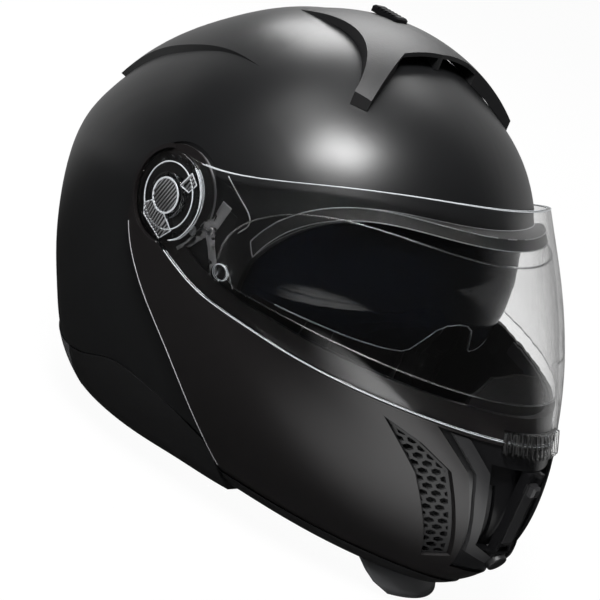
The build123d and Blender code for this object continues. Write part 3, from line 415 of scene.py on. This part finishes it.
def makeGlass(name, spec):
    material, tree, shader, haze = startMaterial(name, "grain", spec["haze"])
    shader.inputs["Base Color"].default_value = spec["colour"] + (1,)
    shader.inputs["Transmission Weight"].default_value = spec["through"]
    shader.inputs["IOR"].default_value = spec["ior"]
    tree.links.new(ranged(tree, haze.outputs["Shade"], *spec["rough"]), shader.inputs["Roughness"])
    return material


finishes = {name: makeFinish(name, spec) for name, spec in finishTable.items()}
finishes.update({name: makeGlass(name, spec) for name, spec in glassTable.items()})

nodeFinish = {
    "outer_shell": "mattLacquer", "chin_bar": "chinLacquer", "top_vent_cover": "grainedBlack",
    "top_vent_knob": "glossBlack", "exhaust_cover": "grainedBlack", "rear_band": "rimGrey",
    "side_trim": "grainedBlack", "sun_visor_lever": "grainedBlack", "chin_trim": "grainedBlack",
    "chin_curtain": "softRubber", "chin_foam": "darkFoam", "breath_guard": "softRubber",
    "demist_strip": "rimGrey", "intake_panel": "glossBlack", "chin_vent_flap": "satinGrey",
    "release_button": "grainedBlack", "visor": "visorClear", "visor_tab": "tabClear",
    "fog_lens": "visorClear", "eyeport_seal": "softRubber", "sun_visor": "smokeTint",
    "eps_liner": "darkFoam", "eps_cheek": "darkFoam", "crown_pad": "padCloth", "cheek_pad": "padCloth",
    "neck_roll": "padCloth", "chin_strap": "strapCloth", "buckle_body": "dullSteel",
    "buckle_lever": "mechanismGrey", "buckle_tongue": "mechanismGrey", "base_plate": "mechanismGrey",
    "pivot_cap": "mechanismClear", "ratchet": "grainedBlack", "gear": "mechanismClear",
    "arm_screw": "dullSteel", "side_bracket": "grainedBlack", "side_grille": "grainedBlack",
    "mouth_trim": "satinGrey", "latch_hook": "dullSteel", "striker": "dullSteel",
    "fog_pin": "mechanismClear", "sun_visor_pin": "dullSteel", "strap_anchor": "dullSteel",
}


def dressNodes():
    for name, piece in nodes.items():
        base = name
        for ending in ("_left", "_right"):
            if base.endswith(ending) and base not in nodeFinish:
                base = base[:-len(ending)]
        for place in piece.material_slots:
            place.material = finishes[nodeFinish[base]]


dressNodes()
print("frame dressed")


# Shared steps of the modelled pieces
def envSpot(side, ahead, above):  # mm from the widest spot
    return widestSpot + Vector((side, -ahead, above)) / 1000


def addPiece(name, mesh, finish, body):
    piece = bpy.data.objects.new(name, mesh)
    scene.collection.objects.link(piece)
    dressPiece(piece, finish)
    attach(piece, body)
    return piece


def dressPiece(piece, finish):
    piece.data.materials.clear()
    piece.data.materials.append(finishes[finish])
    for face in piece.data.polygons:
        face.use_smooth = True


def formMesh(name, form):
    bmesh.ops.recalc_face_normals(form, faces=form.faces)
    mesh = bpy.data.meshes.new(name)
    form.to_mesh(mesh)
    form.free()
    return mesh


# walls between two rings of as many points
def joinRings(form, first, second):
    count = len(first)
    for k in range(count):
        after = (k + 1) % count
        form.faces.new((first[k], first[after], second[after], second[k]))


def bakedMesh(piece):
    bpy.context.view_layer.update()
    graph = bpy.context.evaluated_depsgraph_get()
    return bpy.data.meshes.new_from_object(piece.evaluated_get(graph))


def settleModifiers(piece):
    mesh = bakedMesh(piece)
    piece.modifiers.clear()
    old = piece.data
    piece.data = mesh
    if old.users == 0:
        bpy.data.meshes.remove(old)


# Pads and straps
headRoom = {"wide": 0.082, "long": 0.104, "high": 0.086, "back": 0.006, "drop": 0.008}
headSpot = widestSpot + Vector((0, headRoom["back"], -headRoom["drop"]))


def evenCopy(name, node, voxel, shrink):
    piece = bpy.data.objects.new(name, nodes[node].data.copy())
    scene.collection.objects.link(piece)
    even = piece.modifiers.new("evenMesh", "REMESH")
    even.mode, even.voxel_size = "VOXEL", voxel
    settleModifiers(piece)
    for point in piece.data.vertices:
        point.co = point.co - point.normal * shrink
    return piece


puffLook = {"quality": 4, "frames": 20}
sewLook = {"width": 0.004, "depth": 0.0018}


def puff(piece, pressure, limit, look):
    rest = [point.co.copy() for point in piece.data.vertices]
    cloth = piece.modifiers.new("puff", "CLOTH")
    cloth.settings.use_pressure = True
    cloth.settings.uniform_pressure_force = pressure
    cloth.settings.quality = look["quality"]
    cloth.settings.effector_weights.gravity = 0
    cloth.point_cache.frame_start, cloth.point_cache.frame_end = 1, look["frames"]
    for step in range(1, look["frames"] + 1):
        scene.frame_set(step)
    settleModifiers(piece)
    for point, start in zip(piece.data.vertices, rest):
        move = point.co - start
        if move.length > limit:
            point.co = start + move * (limit / move.length)
    scene.frame_set(1)


def sewChannels(piece, lines, look):
    for point in piece.data.vertices:
        for axis, where in lines:
            away = abs(abs(point.co[axis] - headSpot[axis]) - where)
            if away < look["width"]:
                sunk = look["depth"] * (1 - (away / look["width"]) ** 2)
                point.co = point.co - point.normal * sunk


cheekPad = {"voxel": 0.004, "shrink": 0.002, "pressure": 4, "limit": 0.003, "lines": []}
padTable = {
    "cheekPadLeft": {"node": "cheek_pad_left", **cheekPad},
    "cheekPadRight": {"node": "cheek_pad_right", **cheekPad},
    "neckRoll": {"node": "neck_roll", "voxel": 0.004, "shrink": 0.0015, "pressure": 3, "limit": 0.002,
                 "lines": [(0, 0.0), (0, 0.035), (0, 0.065)]},
}


def makePad(name, spec):
    piece = evenCopy(name, spec["node"], spec["voxel"], spec["shrink"])
    puff(piece, spec["pressure"], spec["limit"], puffLook)
    finer = piece.modifiers.new("finer", "SUBSURF")
    finer.levels = finer.render_levels = 1
    settleModifiers(piece)
    sewChannels(piece, spec["lines"], sewLook)
    dressPiece(piece, "padCloth")
    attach(piece, "shell")
    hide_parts(spec["node"])


for padName, padSpec in padTable.items():
    makePad(padName, padSpec)

# sewn crown pad on the head room, with the angles it spans in degrees and its cross seams as shares
crownPad = {"across": 72, "along": 90, "gap": 0.0005, "thick": 0.0046, "panels": 5, "seam": 0.0028,
            "side": 82, "crossSeams": (0.36, 0.68), "seamSlope": 30, "edgeSlope": 9, "puffPower": 0.35,
            "edgeThin": 0.05, "edgePower": 0.5}

# lowest line of the pad over the brow, as (ahead, above)
browLine = ((0.057, 0.0), (0.066, 0.019), (0.080, 0.035), (0.100, 0.046), (0.118, 0.049), (0.2, 0.05))

# how far the pad sweeps from the brow to the nape, in degrees, and the room it leaves below
capLimits = {"inset": 0.002, "browGap": 0.004, "low": 0.003, "front": (2, 88), "back": (178, 92),
             "step": 0.5}


def browHeight(ahead):
    for (a0, z0), (a1, z1) in zip(browLine, browLine[1:]):
        if a0 <= ahead <= a1:
            return z0 + (z1 - z0) * (ahead - a0) / (a1 - a0)
    return 0.0


def capPoint(side, sweep, inset):
    across = (headRoom["wide"] - inset) * math.sin(side)
    ahead = (headRoom["long"] - inset) * math.cos(side) * math.cos(sweep)
    above = (headRoom["high"] - inset) * math.cos(side) * math.sin(sweep)
    return headSpot + Vector((across, -ahead, above))


def sweepLimits(side, look):
    step = math.radians(look["step"])
    front, frontEnd = (math.radians(angle) for angle in look["front"])
    back, backEnd = (math.radians(angle) for angle in look["back"])
    while front < frontEnd:
        spot = capPoint(side, front, look["inset"]) - widestSpot
        if spot.z > browHeight(-spot.y) + look["browGap"] and spot.z > look["low"]:
            break
        front += step
    while back > backEnd:
        spot = capPoint(side, back, look["inset"]) - widestSpot
        if spot.z > look["low"]:
            break
        back -= step
    return front, back


# depth of the pad below the foam at two shares of its extent, thin at its edge and seams
def padDepth(share, run, look):
    panel = abs(math.sin(math.pi * look["panels"] * share))
    slope = look["edgeSlope"]
    edge = min(1, slope * run, slope * (1 - run), slope * share, slope * (1 - share))
    cross = min([1] + [abs(run - seam) * look["seamSlope"] for seam in look["crossSeams"]])
    puffed = look["seam"] + (look["thick"] - look["seam"]) * (panel * cross) ** look["puffPower"]
    return look["gap"] + puffed * max(look["edgeThin"], edge) ** look["edgePower"]


def makeCrownPad(look):
    form = bmesh.new()
    outer, inner = [], []
    last, end = look["across"], look["along"]
    for i in range(last + 1):
        share = i / last
        side = math.radians(look["side"] * (2 * share - 1))
        front, back = sweepLimits(side, capLimits)
        outerRow, innerRow = [], []
        for j in range(end + 1):
            run = j / end
            sweep = front + (back - front) * run
            outerRow.append(form.verts.new(capPoint(side, sweep, look["gap"])))
            innerRow.append(form.verts.new(capPoint(side, sweep, padDepth(share, run, look))))
        outer.append(outerRow)
        inner.append(innerRow)
    for i in range(last):
        for j in range(end):
            form.faces.new((outer[i][j], outer[i][j + 1], outer[i + 1][j + 1], outer[i + 1][j]))
            form.faces.new((inner[i][j], inner[i + 1][j], inner[i + 1][j + 1], inner[i][j + 1]))
    rim = [(0, j) for j in range(end)] + [(i, end) for i in range(last)]
    rim += [(last, j) for j in range(end, 0, -1)] + [(i, 0) for i in range(last, 0, -1)]
    joinRings(form, [outer[i][j] for i, j in rim], [inner[i][j] for i, j in rim])
    piece = addPiece("crownPad", formMesh("crownPad", form), "padCloth", "shell")
    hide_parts("crown_pad")


makeCrownPad(crownPad)

# strap run seen from ahead, as distances aside and above, and where its two ends stop short
strapLook = {"width": 0.0238, "thick": 0.0018, "side": 0.0755, "top": -0.066, "bend": -0.092,
             "corner": (0.040, -0.122), "bottom": -0.128, "round": 0.012, "steps": 8, "across": 13,
             "thinEdge": 0.55, "leftEnd": 0.015, "rightEnd": 0.046}
cornerShare = 0.48  # most of a run that a rounded corner takes up


def roundedPath(points, radius, steps):
    path = [Vector(points[0])]
    for before, corner, after in zip(points, points[1:], points[2:]):
        corner = Vector(corner)
        into = Vector(before) - corner
        away = Vector(after) - corner
        start = corner + into.normalized() * min(radius, into.length * cornerShare)
        end = corner + away.normalized() * min(radius, away.length * cornerShare)
        for k in range(steps + 1):
            t = k / steps
            path.append(start * (1 - t) ** 2 + corner * 2 * t * (1 - t) + end * t * t)
    path.append(Vector(points[-1]))
    return path


def alongRun(look, distance):
    start = Vector((look["side"], look["bend"]))
    run = Vector(look["corner"]) - start
    return tuple(start + run.normalized() * distance)


def makeStrap(name, node, points, look):
    path = roundedPath(points, look["round"], look["steps"])
    form = bmesh.new()
    rings = []
    low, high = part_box(node)
    middleY = (low.y + high.y) / 2
    half, count = look["width"] / 2, look["across"]
    for k, spot in enumerate(path):
        before, after = path[max(0, k - 1)], path[min(len(path) - 1, k + 1)]
        run = (after - before).normalized()
        normal = Vector((-run.y, run.x))
        ring = []
        for side in (1, -1):
            for m in range(count):
                share = -1 + 2 * m / (count - 1)
                thick = look["thick"] / 2 * (1 - look["thinEdge"] * abs(share) ** 8)
                place = spot + normal * side * thick
                along = middleY + share * side * half
                ring.append(form.verts.new((place.x, along, widestSpot.z + place.y)))
        rings.append(ring)
    for first, second in zip(rings, rings[1:]):
        joinRings(form, first, second)
    form.faces.new(rings[0])
    form.faces.new(rings[-1])
    piece = addPiece(name, formMesh(name, form), "strapCloth", "shell")
    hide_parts(node)


def makeStraps(look):
    side, top, bend = look["side"], look["top"], look["bend"]
    corner, low = look["corner"], look["bottom"]
    leftRun = [(side, top), (side, bend), alongRun(look, look["leftEnd"])]
    rightRun = [(-side, top), (-side, bend), (-corner[0], corner[1]), (0, low), corner,
                alongRun(look, look["rightEnd"])]
    makeStrap("chinStrapLeft", "chin_strap_left", leftRun, look)
    makeStrap("chinStrapRight", "chin_strap_right", rightRun, look)


makeStraps(strapLook)
print("pads and straps made")


# Painted edge highlights, the sun visor and the pieces at the hinge
def surfaceTree(node):
    data = nodes[node].data
    faces = [face.vertices for face in data.polygons]
    return BVHTree.FromPolygons([point.co for point in data.vertices], faces)


# mm from the middle: a start well outside the helmet, and the least that still counts as its side
farSide, leastSide = 200, 90


# where a level line from outside first meets a node, at a height and a distance ahead
def sideTouch(tree, sign, ahead, above):
    start = envSpot(sign * farSide, ahead, above)
    spot = tree.ray_cast(start, Vector((-sign, 0, 0)))[0]
    return (spot.x - widestSpot.x) * 1000 * sign if spot else None


# level of the outermost of some nodes at a place on one side
def topOf(trees, sign, ahead, above):
    found = [sideTouch(tree, sign, ahead, above) for tree in trees]
    found = [side for side in found if side is not None and side > leastSide]
    return max(found) if found else None


def smoothRun(points, steps):
    curve = bpy.data.curves.new("run", "CURVE")
    curve.dimensions = "3D"
    curve.resolution_u = steps
    line = curve.splines.new("NURBS")
    line.points.add(len(points) - 1)
    for point, spot in zip(line.points, points):
        point.co = (*spot, 1)
    line.order_u = 3
    line.use_endpoint_u = True
    shape = bpy.data.objects.new("run", curve)
    scene.collection.objects.link(shape)
    mesh = bakedMesh(shape)
    bpy.data.objects.remove(shape)
    spots = [point.co.copy() for point in mesh.vertices]
    bpy.data.meshes.remove(mesh)
    return spots


def tubeMesh(name, runs, radius):
    curve = bpy.data.curves.new(name, "CURVE")
    curve.dimensions = "3D"
    curve.bevel_depth, curve.bevel_resolution, curve.use_fill_caps = radius, 1, True
    for run in runs:
        line = curve.splines.new("POLY")
        line.points.add(len(run) - 1)
        for point, spot in zip(line.points, run):
            point.co = (*spot, 1)
    shape = bpy.data.objects.new(name + "Line", curve)
    scene.collection.objects.link(shape)
    mesh = bakedMesh(shape)
    bpy.data.objects.remove(shape)
    return mesh


# sun visor trimmed to its worn lower line, with the cut-out over the nose: the line as (side, above),
# the bowl as half width, depth, distance ahead and height of its middle
sunVisorLook = {"edge": ((0, -2), (9, -3), (16, -6.5), (21, -13), (26, -20), (30, -22), (40, -22.2),
                         (60, -20.8), (80, -18.6), (98, -17)),
                "bowl": (107, 92, 28, 2), "bead": 0.0005, "beadSide": 94, "beadSink": 0.3, "steps": 6}
cutterBox = {"near": 50, "low": -90, "reach": 0.12}
weldGap = 1e-6


def sunVisorCutter(line, box):
    form = bmesh.new()
    side = line[-1][0]
    corners = line + [(side, box["low"]), (-side, box["low"])]
    face = form.faces.new([form.verts.new(envSpot(x, box["near"], z)) for x, z in corners])
    pushed = bmesh.ops.extrude_face_region(form, geom=[face])
    moved = [item for item in pushed["geom"] if isinstance(item, bmesh.types.BMVert)]
    bmesh.ops.translate(form, verts=moved, vec=(0, -box["reach"], 0))
    cutter = bpy.data.objects.new("sunVisorCutter", formMesh("sunVisorCutter", form))
    scene.collection.objects.link(cutter)
    return cutter


def makeSunVisor(look):
    line = [(-x, z) for x, z in reversed(look["edge"][1:])] + list(look["edge"])
    cutter = sunVisorCutter(line, cutterBox)
    piece = bpy.data.objects.new("sunVisorLens", nodes["sun_visor"].data.copy())
    scene.collection.objects.link(piece)
    weld = piece.modifiers.new("weld", "WELD")
    weld.merge_threshold = weldGap
    trim = piece.modifiers.new("trim", "BOOLEAN")
    trim.operation, trim.object, trim.solver = "DIFFERENCE", cutter, "EXACT"
    settleModifiers(piece)
    bpy.data.objects.remove(cutter)
    piece.data.materials.clear()
    piece.data.materials.append(finishes["smokeTint"])
    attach(piece, "sun_visor")
    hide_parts("sun_visor")
    # pale tube along the lower line: a painted highlight on the edge
    bead = tubeMesh("sunVisorEdge", [beadRun(line, look)], look["bead"])
    addPiece("sunVisorEdge", bead, "edgeGlint", "sun_visor")


# the lower line again, laid on the bowl's front
def beadRun(line, look):
    wide, deep, ahead, above = look["bowl"]
    spots = []
    for (x0, z0), (x1, z1) in zip(line, line[1:]):
        for k in range(look["steps"]):
            share = k / look["steps"]
            x, z = x0 + (x1 - x0) * share, z0 + (z1 - z0) * share
            if abs(x) < look["beadSide"]:
                reach = math.sqrt(max(0, deep ** 2 * (1 - (x / wide) ** 2) - (z - above) ** 2))
                spots.append(envSpot(x, ahead + reach - look["beadSink"], z))
    return spots


makeSunVisor(sunVisorLook)

# limits of the edges that are kept for thin tubes, the pale ones being painted highlights, in metres and as
# parts of a face's direction
edgeLimits = {"visorAhead": 0.012, "sealAhead": 0.03, "splitTop": 0.025, "splitLow": 0.122,
              "splitAhead": 0.075, "outward": 0.6, "rearward": 0.2}


def anyEdge(spot, first, second):
    return True


def visorFront(spot, first, second):
    return hingeSpot.y - spot.y > edgeLimits["visorAhead"]


def sealFront(spot, first, second):
    return hingeSpot.y - spot.y > edgeLimits["sealAhead"]


def onSplitLine(spot, first, second):
    look = edgeLimits
    way = 1 if spot.x > 0 else -1
    outward = max(first.x * way, second.x * way)
    rearward = max(first.y - abs(first.x), second.y - abs(second.x))
    low = widestSpot.z - look["splitLow"] < spot.z < hingeSpot.z - look["splitTop"]
    behind = spot.y > hingeSpot.y - look["splitAhead"]
    return low and behind and outward > look["outward"] and rearward > look["rearward"]


# thin tubes along chosen edges: the pale ones are painted highlights, the fog lens's are clear glass
edgeTable = {
    "visorEdges": {"node": "visor", "bend": 40, "keep": visorFront, "finish": "edgeGlint", "body": "visor",
                   "slot": "clear_lens"},
    "sealEdges": {"node": "eyeport_seal", "bend": 50, "keep": sealFront, "finish": "paintedEdgeHighlight",
                  "body": "shell", "slot": "soft_rubber"},
    "fogLensEdges": {"node": "fog_lens", "bend": 40, "keep": anyEdge, "finish": "polishedEdge",
                     "body": "visor", "slot": "clear_lens"},
    "splitLine": {"node": "chin_bar", "bend": 30, "keep": onSplitLine, "finish": "paintedEdgeHighlight", "body": "chin",
                  "slot": "shell_paint"},
}
edgeRadius = 0.0003


# runs of sharp corners on a node that a test keeps
def cornerRuns(node, bend, keep):
    form = bmesh.new()
    form.from_mesh(nodes[node].data)
    bmesh.ops.remove_doubles(form, verts=form.verts, dist=weldGap)
    joined = {}
    for edge in form.edges:
        if len(edge.link_faces) != 2 or edge.calc_face_angle() < math.radians(bend):
            continue
        first, second = edge.verts
        one, other = edge.link_faces
        if not keep((first.co + second.co) / 2, one.normal, other.normal):
            continue
        joined.setdefault(first.index, []).append(second.index)
        joined.setdefault(second.index, []).append(first.index)
    form.verts.ensure_lookup_table()
    spots = {index: form.verts[index].co.copy() for index in joined}
    form.free()
    runs, used = [], set()
    for start in sorted(joined, key=lambda index: (len(joined[index]) == 2, index)):
        for after in joined[start]:
            if (start, after) in used:
                continue
            run, before, here = [spots[start]], start, after
            while True:
                used.update({(before, here), (here, before)})
                run.append(spots[here])
                onward = [n for n in joined[here] if (here, n) not in used]
                if len(joined[here]) != 2 or not onward:
                    break
                before, here = here, onward[0]
            runs.append(run)
    return runs


for edgeName, edgeSpec in edgeTable.items():
    edgeRuns = cornerRuns(edgeSpec["node"], edgeSpec["bend"], edgeSpec["keep"])
    edgeMesh = tubeMesh(edgeName, edgeRuns, edgeRadius)
    addPiece(edgeName, edgeMesh, edgeSpec["finish"], edgeSpec["body"])
print("polished edges made")

# rubber lip round the side of the eyeport, coloured pale grey as a painted highlight, as distances ahead
# and above in mm
eyeportLip = {"run": ((26, 34), (37, 28), (47, 22.5), (50, 17), (46, 11.5), (41.5, 5), (42, 0), (48, -10),
                      (53, -18), (62, -26)), "radius": 0.0004, "steps": 6}


def makeEyeportLip(look):
    tree = surfaceTree("outer_shell")
    runs = []
    for sign in (-1, 1):
        run = []
        for ahead, above in look["run"]:
            side = sideTouch(tree, sign, ahead, above)
            if side is not None:
                run.append(envSpot(sign * side, ahead, above))
        runs.append(smoothRun(run, look["steps"]))
    mesh = tubeMesh("eyeportLip", runs, look["radius"])
    addPiece("eyeportLip", mesh, "paintedEdgeHighlight", "shell")


makeEyeportLip(eyeportLip)

# three-armed link behind the clear visor: arms as (ahead, above, half width) runs from its screw, a
# section as (share of the half width, height over the seat), and a screw as (share of its radius, height)
hingeLink = {"arms": (((29.3, 3.7, 3.2), (31.5, 11, 2.9), (33.5, 21, 3.3)),
                      ((29.3, 3.7, 3.2), (33.5, -4, 2.2), (40.5, -16.5, 2.6)),
                      ((29.3, 3.7, 2.4), (23, -5, 1.1), (16.5, -13.5, 1.0))),
             "section": ((-1, 0.05), (-0.86, 0.35), (0, 0.45), (0.86, 0.35), (1, 0.05), (1, -1.1),
                         (-1, -1.1)),
             "carriers": ("side_bracket", "chin_bar", "outer_shell"), "level": 112.0, "steps": 8,
             "screw": (29.3, 3.7, 2.6), "head": ((1, -1), (1, 0.5), (0.8, 0.8), (0.45, 0.8), (0.3, 0.3))}


def makeArm(form, trees, sign, arm, look):
    rows, level = [], look["level"]
    for (a0, z0, w0), (a1, z1, w1) in zip(arm, arm[1:]):
        way = Vector((a1 - a0, z1 - z0)).normalized()
        across = Vector((-way.y, way.x))
        for k in range(look["steps"] + 1):
            t = k / look["steps"]
            ahead, above, wide = a0 + (a1 - a0) * t, z0 + (z1 - z0) * t, w0 + (w1 - w0) * t
            level = topOf(trees, sign, ahead, above) or level
            row = []
            for share, lift in look["section"]:
                a, z = ahead + across.x * wide * share, above + across.y * wide * share
                side = topOf(trees, sign, a, z) or level
                row.append(form.verts.new(envSpot(sign * (side + lift), a, z)))
            rows.append(row)
    for first, second in zip(rows, rows[1:]):
        joinRings(form, first, second)
    form.faces.new(rows[0])
    form.faces.new(rows[-1])


def screwHead(form, sign, ahead, above, profile, count=32):
    rings = []
    for radius, side in profile:
        ring = []
        for k in range(count):
            turn = 2 * math.pi * k / count
            spot = envSpot(sign * side, ahead + radius * math.cos(turn), above + radius * math.sin(turn))
            ring.append(form.verts.new(spot))
        rings.append(ring)
    for first, second in zip(rings, rings[1:]):
        joinRings(form, first, second)
    form.faces.new(rings[0])
    form.faces.new(rings[-1])


def makeHingeLink(look):
    trees = [surfaceTree(name) for name in nodes if name.startswith(look["carriers"])]
    arms, screws = bmesh.new(), bmesh.new()
    ahead, above, radius = look["screw"]
    for sign in (-1, 1):
        for arm in look["arms"]:
            makeArm(arms, trees, sign, arm, look)
        side = topOf(trees, sign, ahead, above)
        profile = [(radius * share, side + lift) for share, lift in look["head"]]
        screwHead(screws, sign, ahead, above, profile)
    addPiece("hingeLink", formMesh("hingeLink", arms), "mechanismGrey", "chin")
    addPiece("hingeLinkScrew", formMesh("hingeLinkScrew", screws), "dullSteel", "chin")


makeHingeLink(hingeLink)

# ribbed clear disc, latch tab and stop block moulded over the pivot: mm ahead and above the hinge
pivotLook = {"disc": 9.2, "discCorners": 36, "pitch": 1.9, "rows": 14, "step": 0.45, "reach": 60,
             "fewest": 5, "ribWide": 0.45, "ribTop": 0.225, "ribProud": 0.5, "sink": 0.25, "lean": 67.7,
             "tab": ((-14.4, -11.3), (-7.5, -6.5), (-3.0, -9.4), (3.5, -9.0), (10.7, -15.8), (4.6, -23.2),
                     (-11.9, -16.9)),
             "stop": ((7.5, 9.5), (13.0, 8.0), (16.5, 14.0), (10.5, 18.0)),
             "rims": (18.2, 9.6), "rimCorners": 72, "line": 0.00042}


def circlePlaces(radius, count):
    turns = [2 * math.pi * k / count for k in range(count)]
    return tuple((radius * math.cos(turn), radius * math.sin(turn)) for turn in turns)


def insideOf(shape, spot):
    inside = False
    for (x0, y0), (x1, y1) in zip(shape, shape[1:] + shape[:1]):
        if (y0 > spot.y) != (y1 > spot.y) and spot.x < x0 + (x1 - x0) * (spot.y - y0) / (y1 - y0):
            inside = not inside
    return inside


def makePivot(look):
    trees = [surfaceTree(name) for name in ("visor", "pivot_cap_right", "pivot_cap_left")]

    def onTop(sign, x, y, lift):
        level = topOf(trees, sign, x, hingeRise + y)
        return envSpot(sign * (level + lift), x, hingeRise + y) if level else None

    def outline(sign, shape):
        spots = [onTop(sign, x, y, 0) for x, y in shape + shape[:1]]
        return [spot for spot in spots if spot]

    lean = math.radians(look["lean"])
    along, across = Vector((math.cos(lean), math.sin(lean))), Vector((-math.sin(lean), math.cos(lean)))
    disc = circlePlaces(look["disc"], look["discCorners"])
    ribs, lines = bmesh.new(), []
    for sign in (-1, 1):
        for shape in (disc, look["tab"], look["stop"]):
            lines.append(outline(sign, shape))
            for row in range(-look["rows"], look["rows"] + 1):
                spots = [across * row * look["pitch"] + along * k * look["step"]
                         for k in range(-look["reach"], look["reach"] + 1)]
                run = [spot for spot in spots if insideOf(shape, spot)]
                if len(run) >= look["fewest"]:
                    addRib(ribs, sign, (run[0], run[-1]), across, onTop, look)
        for radius in look["rims"]:
            lines.append(outline(sign, circlePlaces(radius, look["rimCorners"])))
    addPiece("pivotRibs", formMesh("pivotRibs", ribs), "mechanismGrey", "visor")
    # the rims are pale tubes: painted highlights
    addPiece("pivotRims", tubeMesh("pivotRims", lines, look["line"]), "edgeGlint", "visor")


def addRib(form, sign, ends, across, onTop, look):
    low, high = [], []
    levels = ((low, -look["sink"], look["ribWide"]), (high, look["ribProud"], look["ribTop"]))
    for end in ends:
        for side in (-1, 1):
            for row, lift, wide in levels:
                spot = end + across * side * wide
                place = onTop(sign, spot.x, spot.y, lift)
                if place is None:
                    return
                row.append(form.verts.new(place))
    form.faces.new((high[0], high[1], high[3], high[2]))
    form.faces.new((low[0], low[1], low[3], low[2]))
    for first, second in ((0, 1), (1, 3), (3, 2), (2, 0)):
        form.faces.new((low[first], low[second], high[second], high[first]))


makePivot(pivotLook)
print("hinge dressed")

# soft lip of the chin curtain below the chin bar: rows of (half width, ahead at the middle, above) in mm
curtainLip = {"rows": ((33, 162, -133), (31, 166, -138), (28, 168.5, -142), (21, 170, -146)), "thick": 2.2,
              "bow": 0.0165, "narrowing": 60, "across": 24}


def makeCurtainLip(look):
    form = bmesh.new()
    sheets = []
    count = look["across"]
    for inset in (0, look["thick"]):
        sheet = []
        for half, ahead, above in look["rows"]:
            row = []
            for k in range(count + 1):
                side = half * (2 * k / count - 1)
                out = ahead - look["bow"] * side * side - inset
                row.append(form.verts.new(envSpot(side * (1 - inset / look["narrowing"]), out, above)))
            sheet.append(row)
        sheets.append(sheet)
    for sheet in sheets:
        for upper, lower in zip(sheet, sheet[1:]):
            for k in range(count):
                form.faces.new((upper[k], upper[k + 1], lower[k + 1], lower[k]))
    outer, inner = sheets
    for first, second in ((outer[0], inner[0]), (outer[-1], inner[-1])):
        for k in range(count):
            form.faces.new((first[k], first[k + 1], second[k + 1], second[k]))
    for k in (0, count):
        for m in range(len(outer) - 1):
            form.faces.new((outer[m][k], outer[m + 1][k], inner[m + 1][k], inner[m][k]))
    addPiece("curtainLip", formMesh("curtainLip", form), "rimGrey", "chin")


makeCurtainLip(curtainLip)
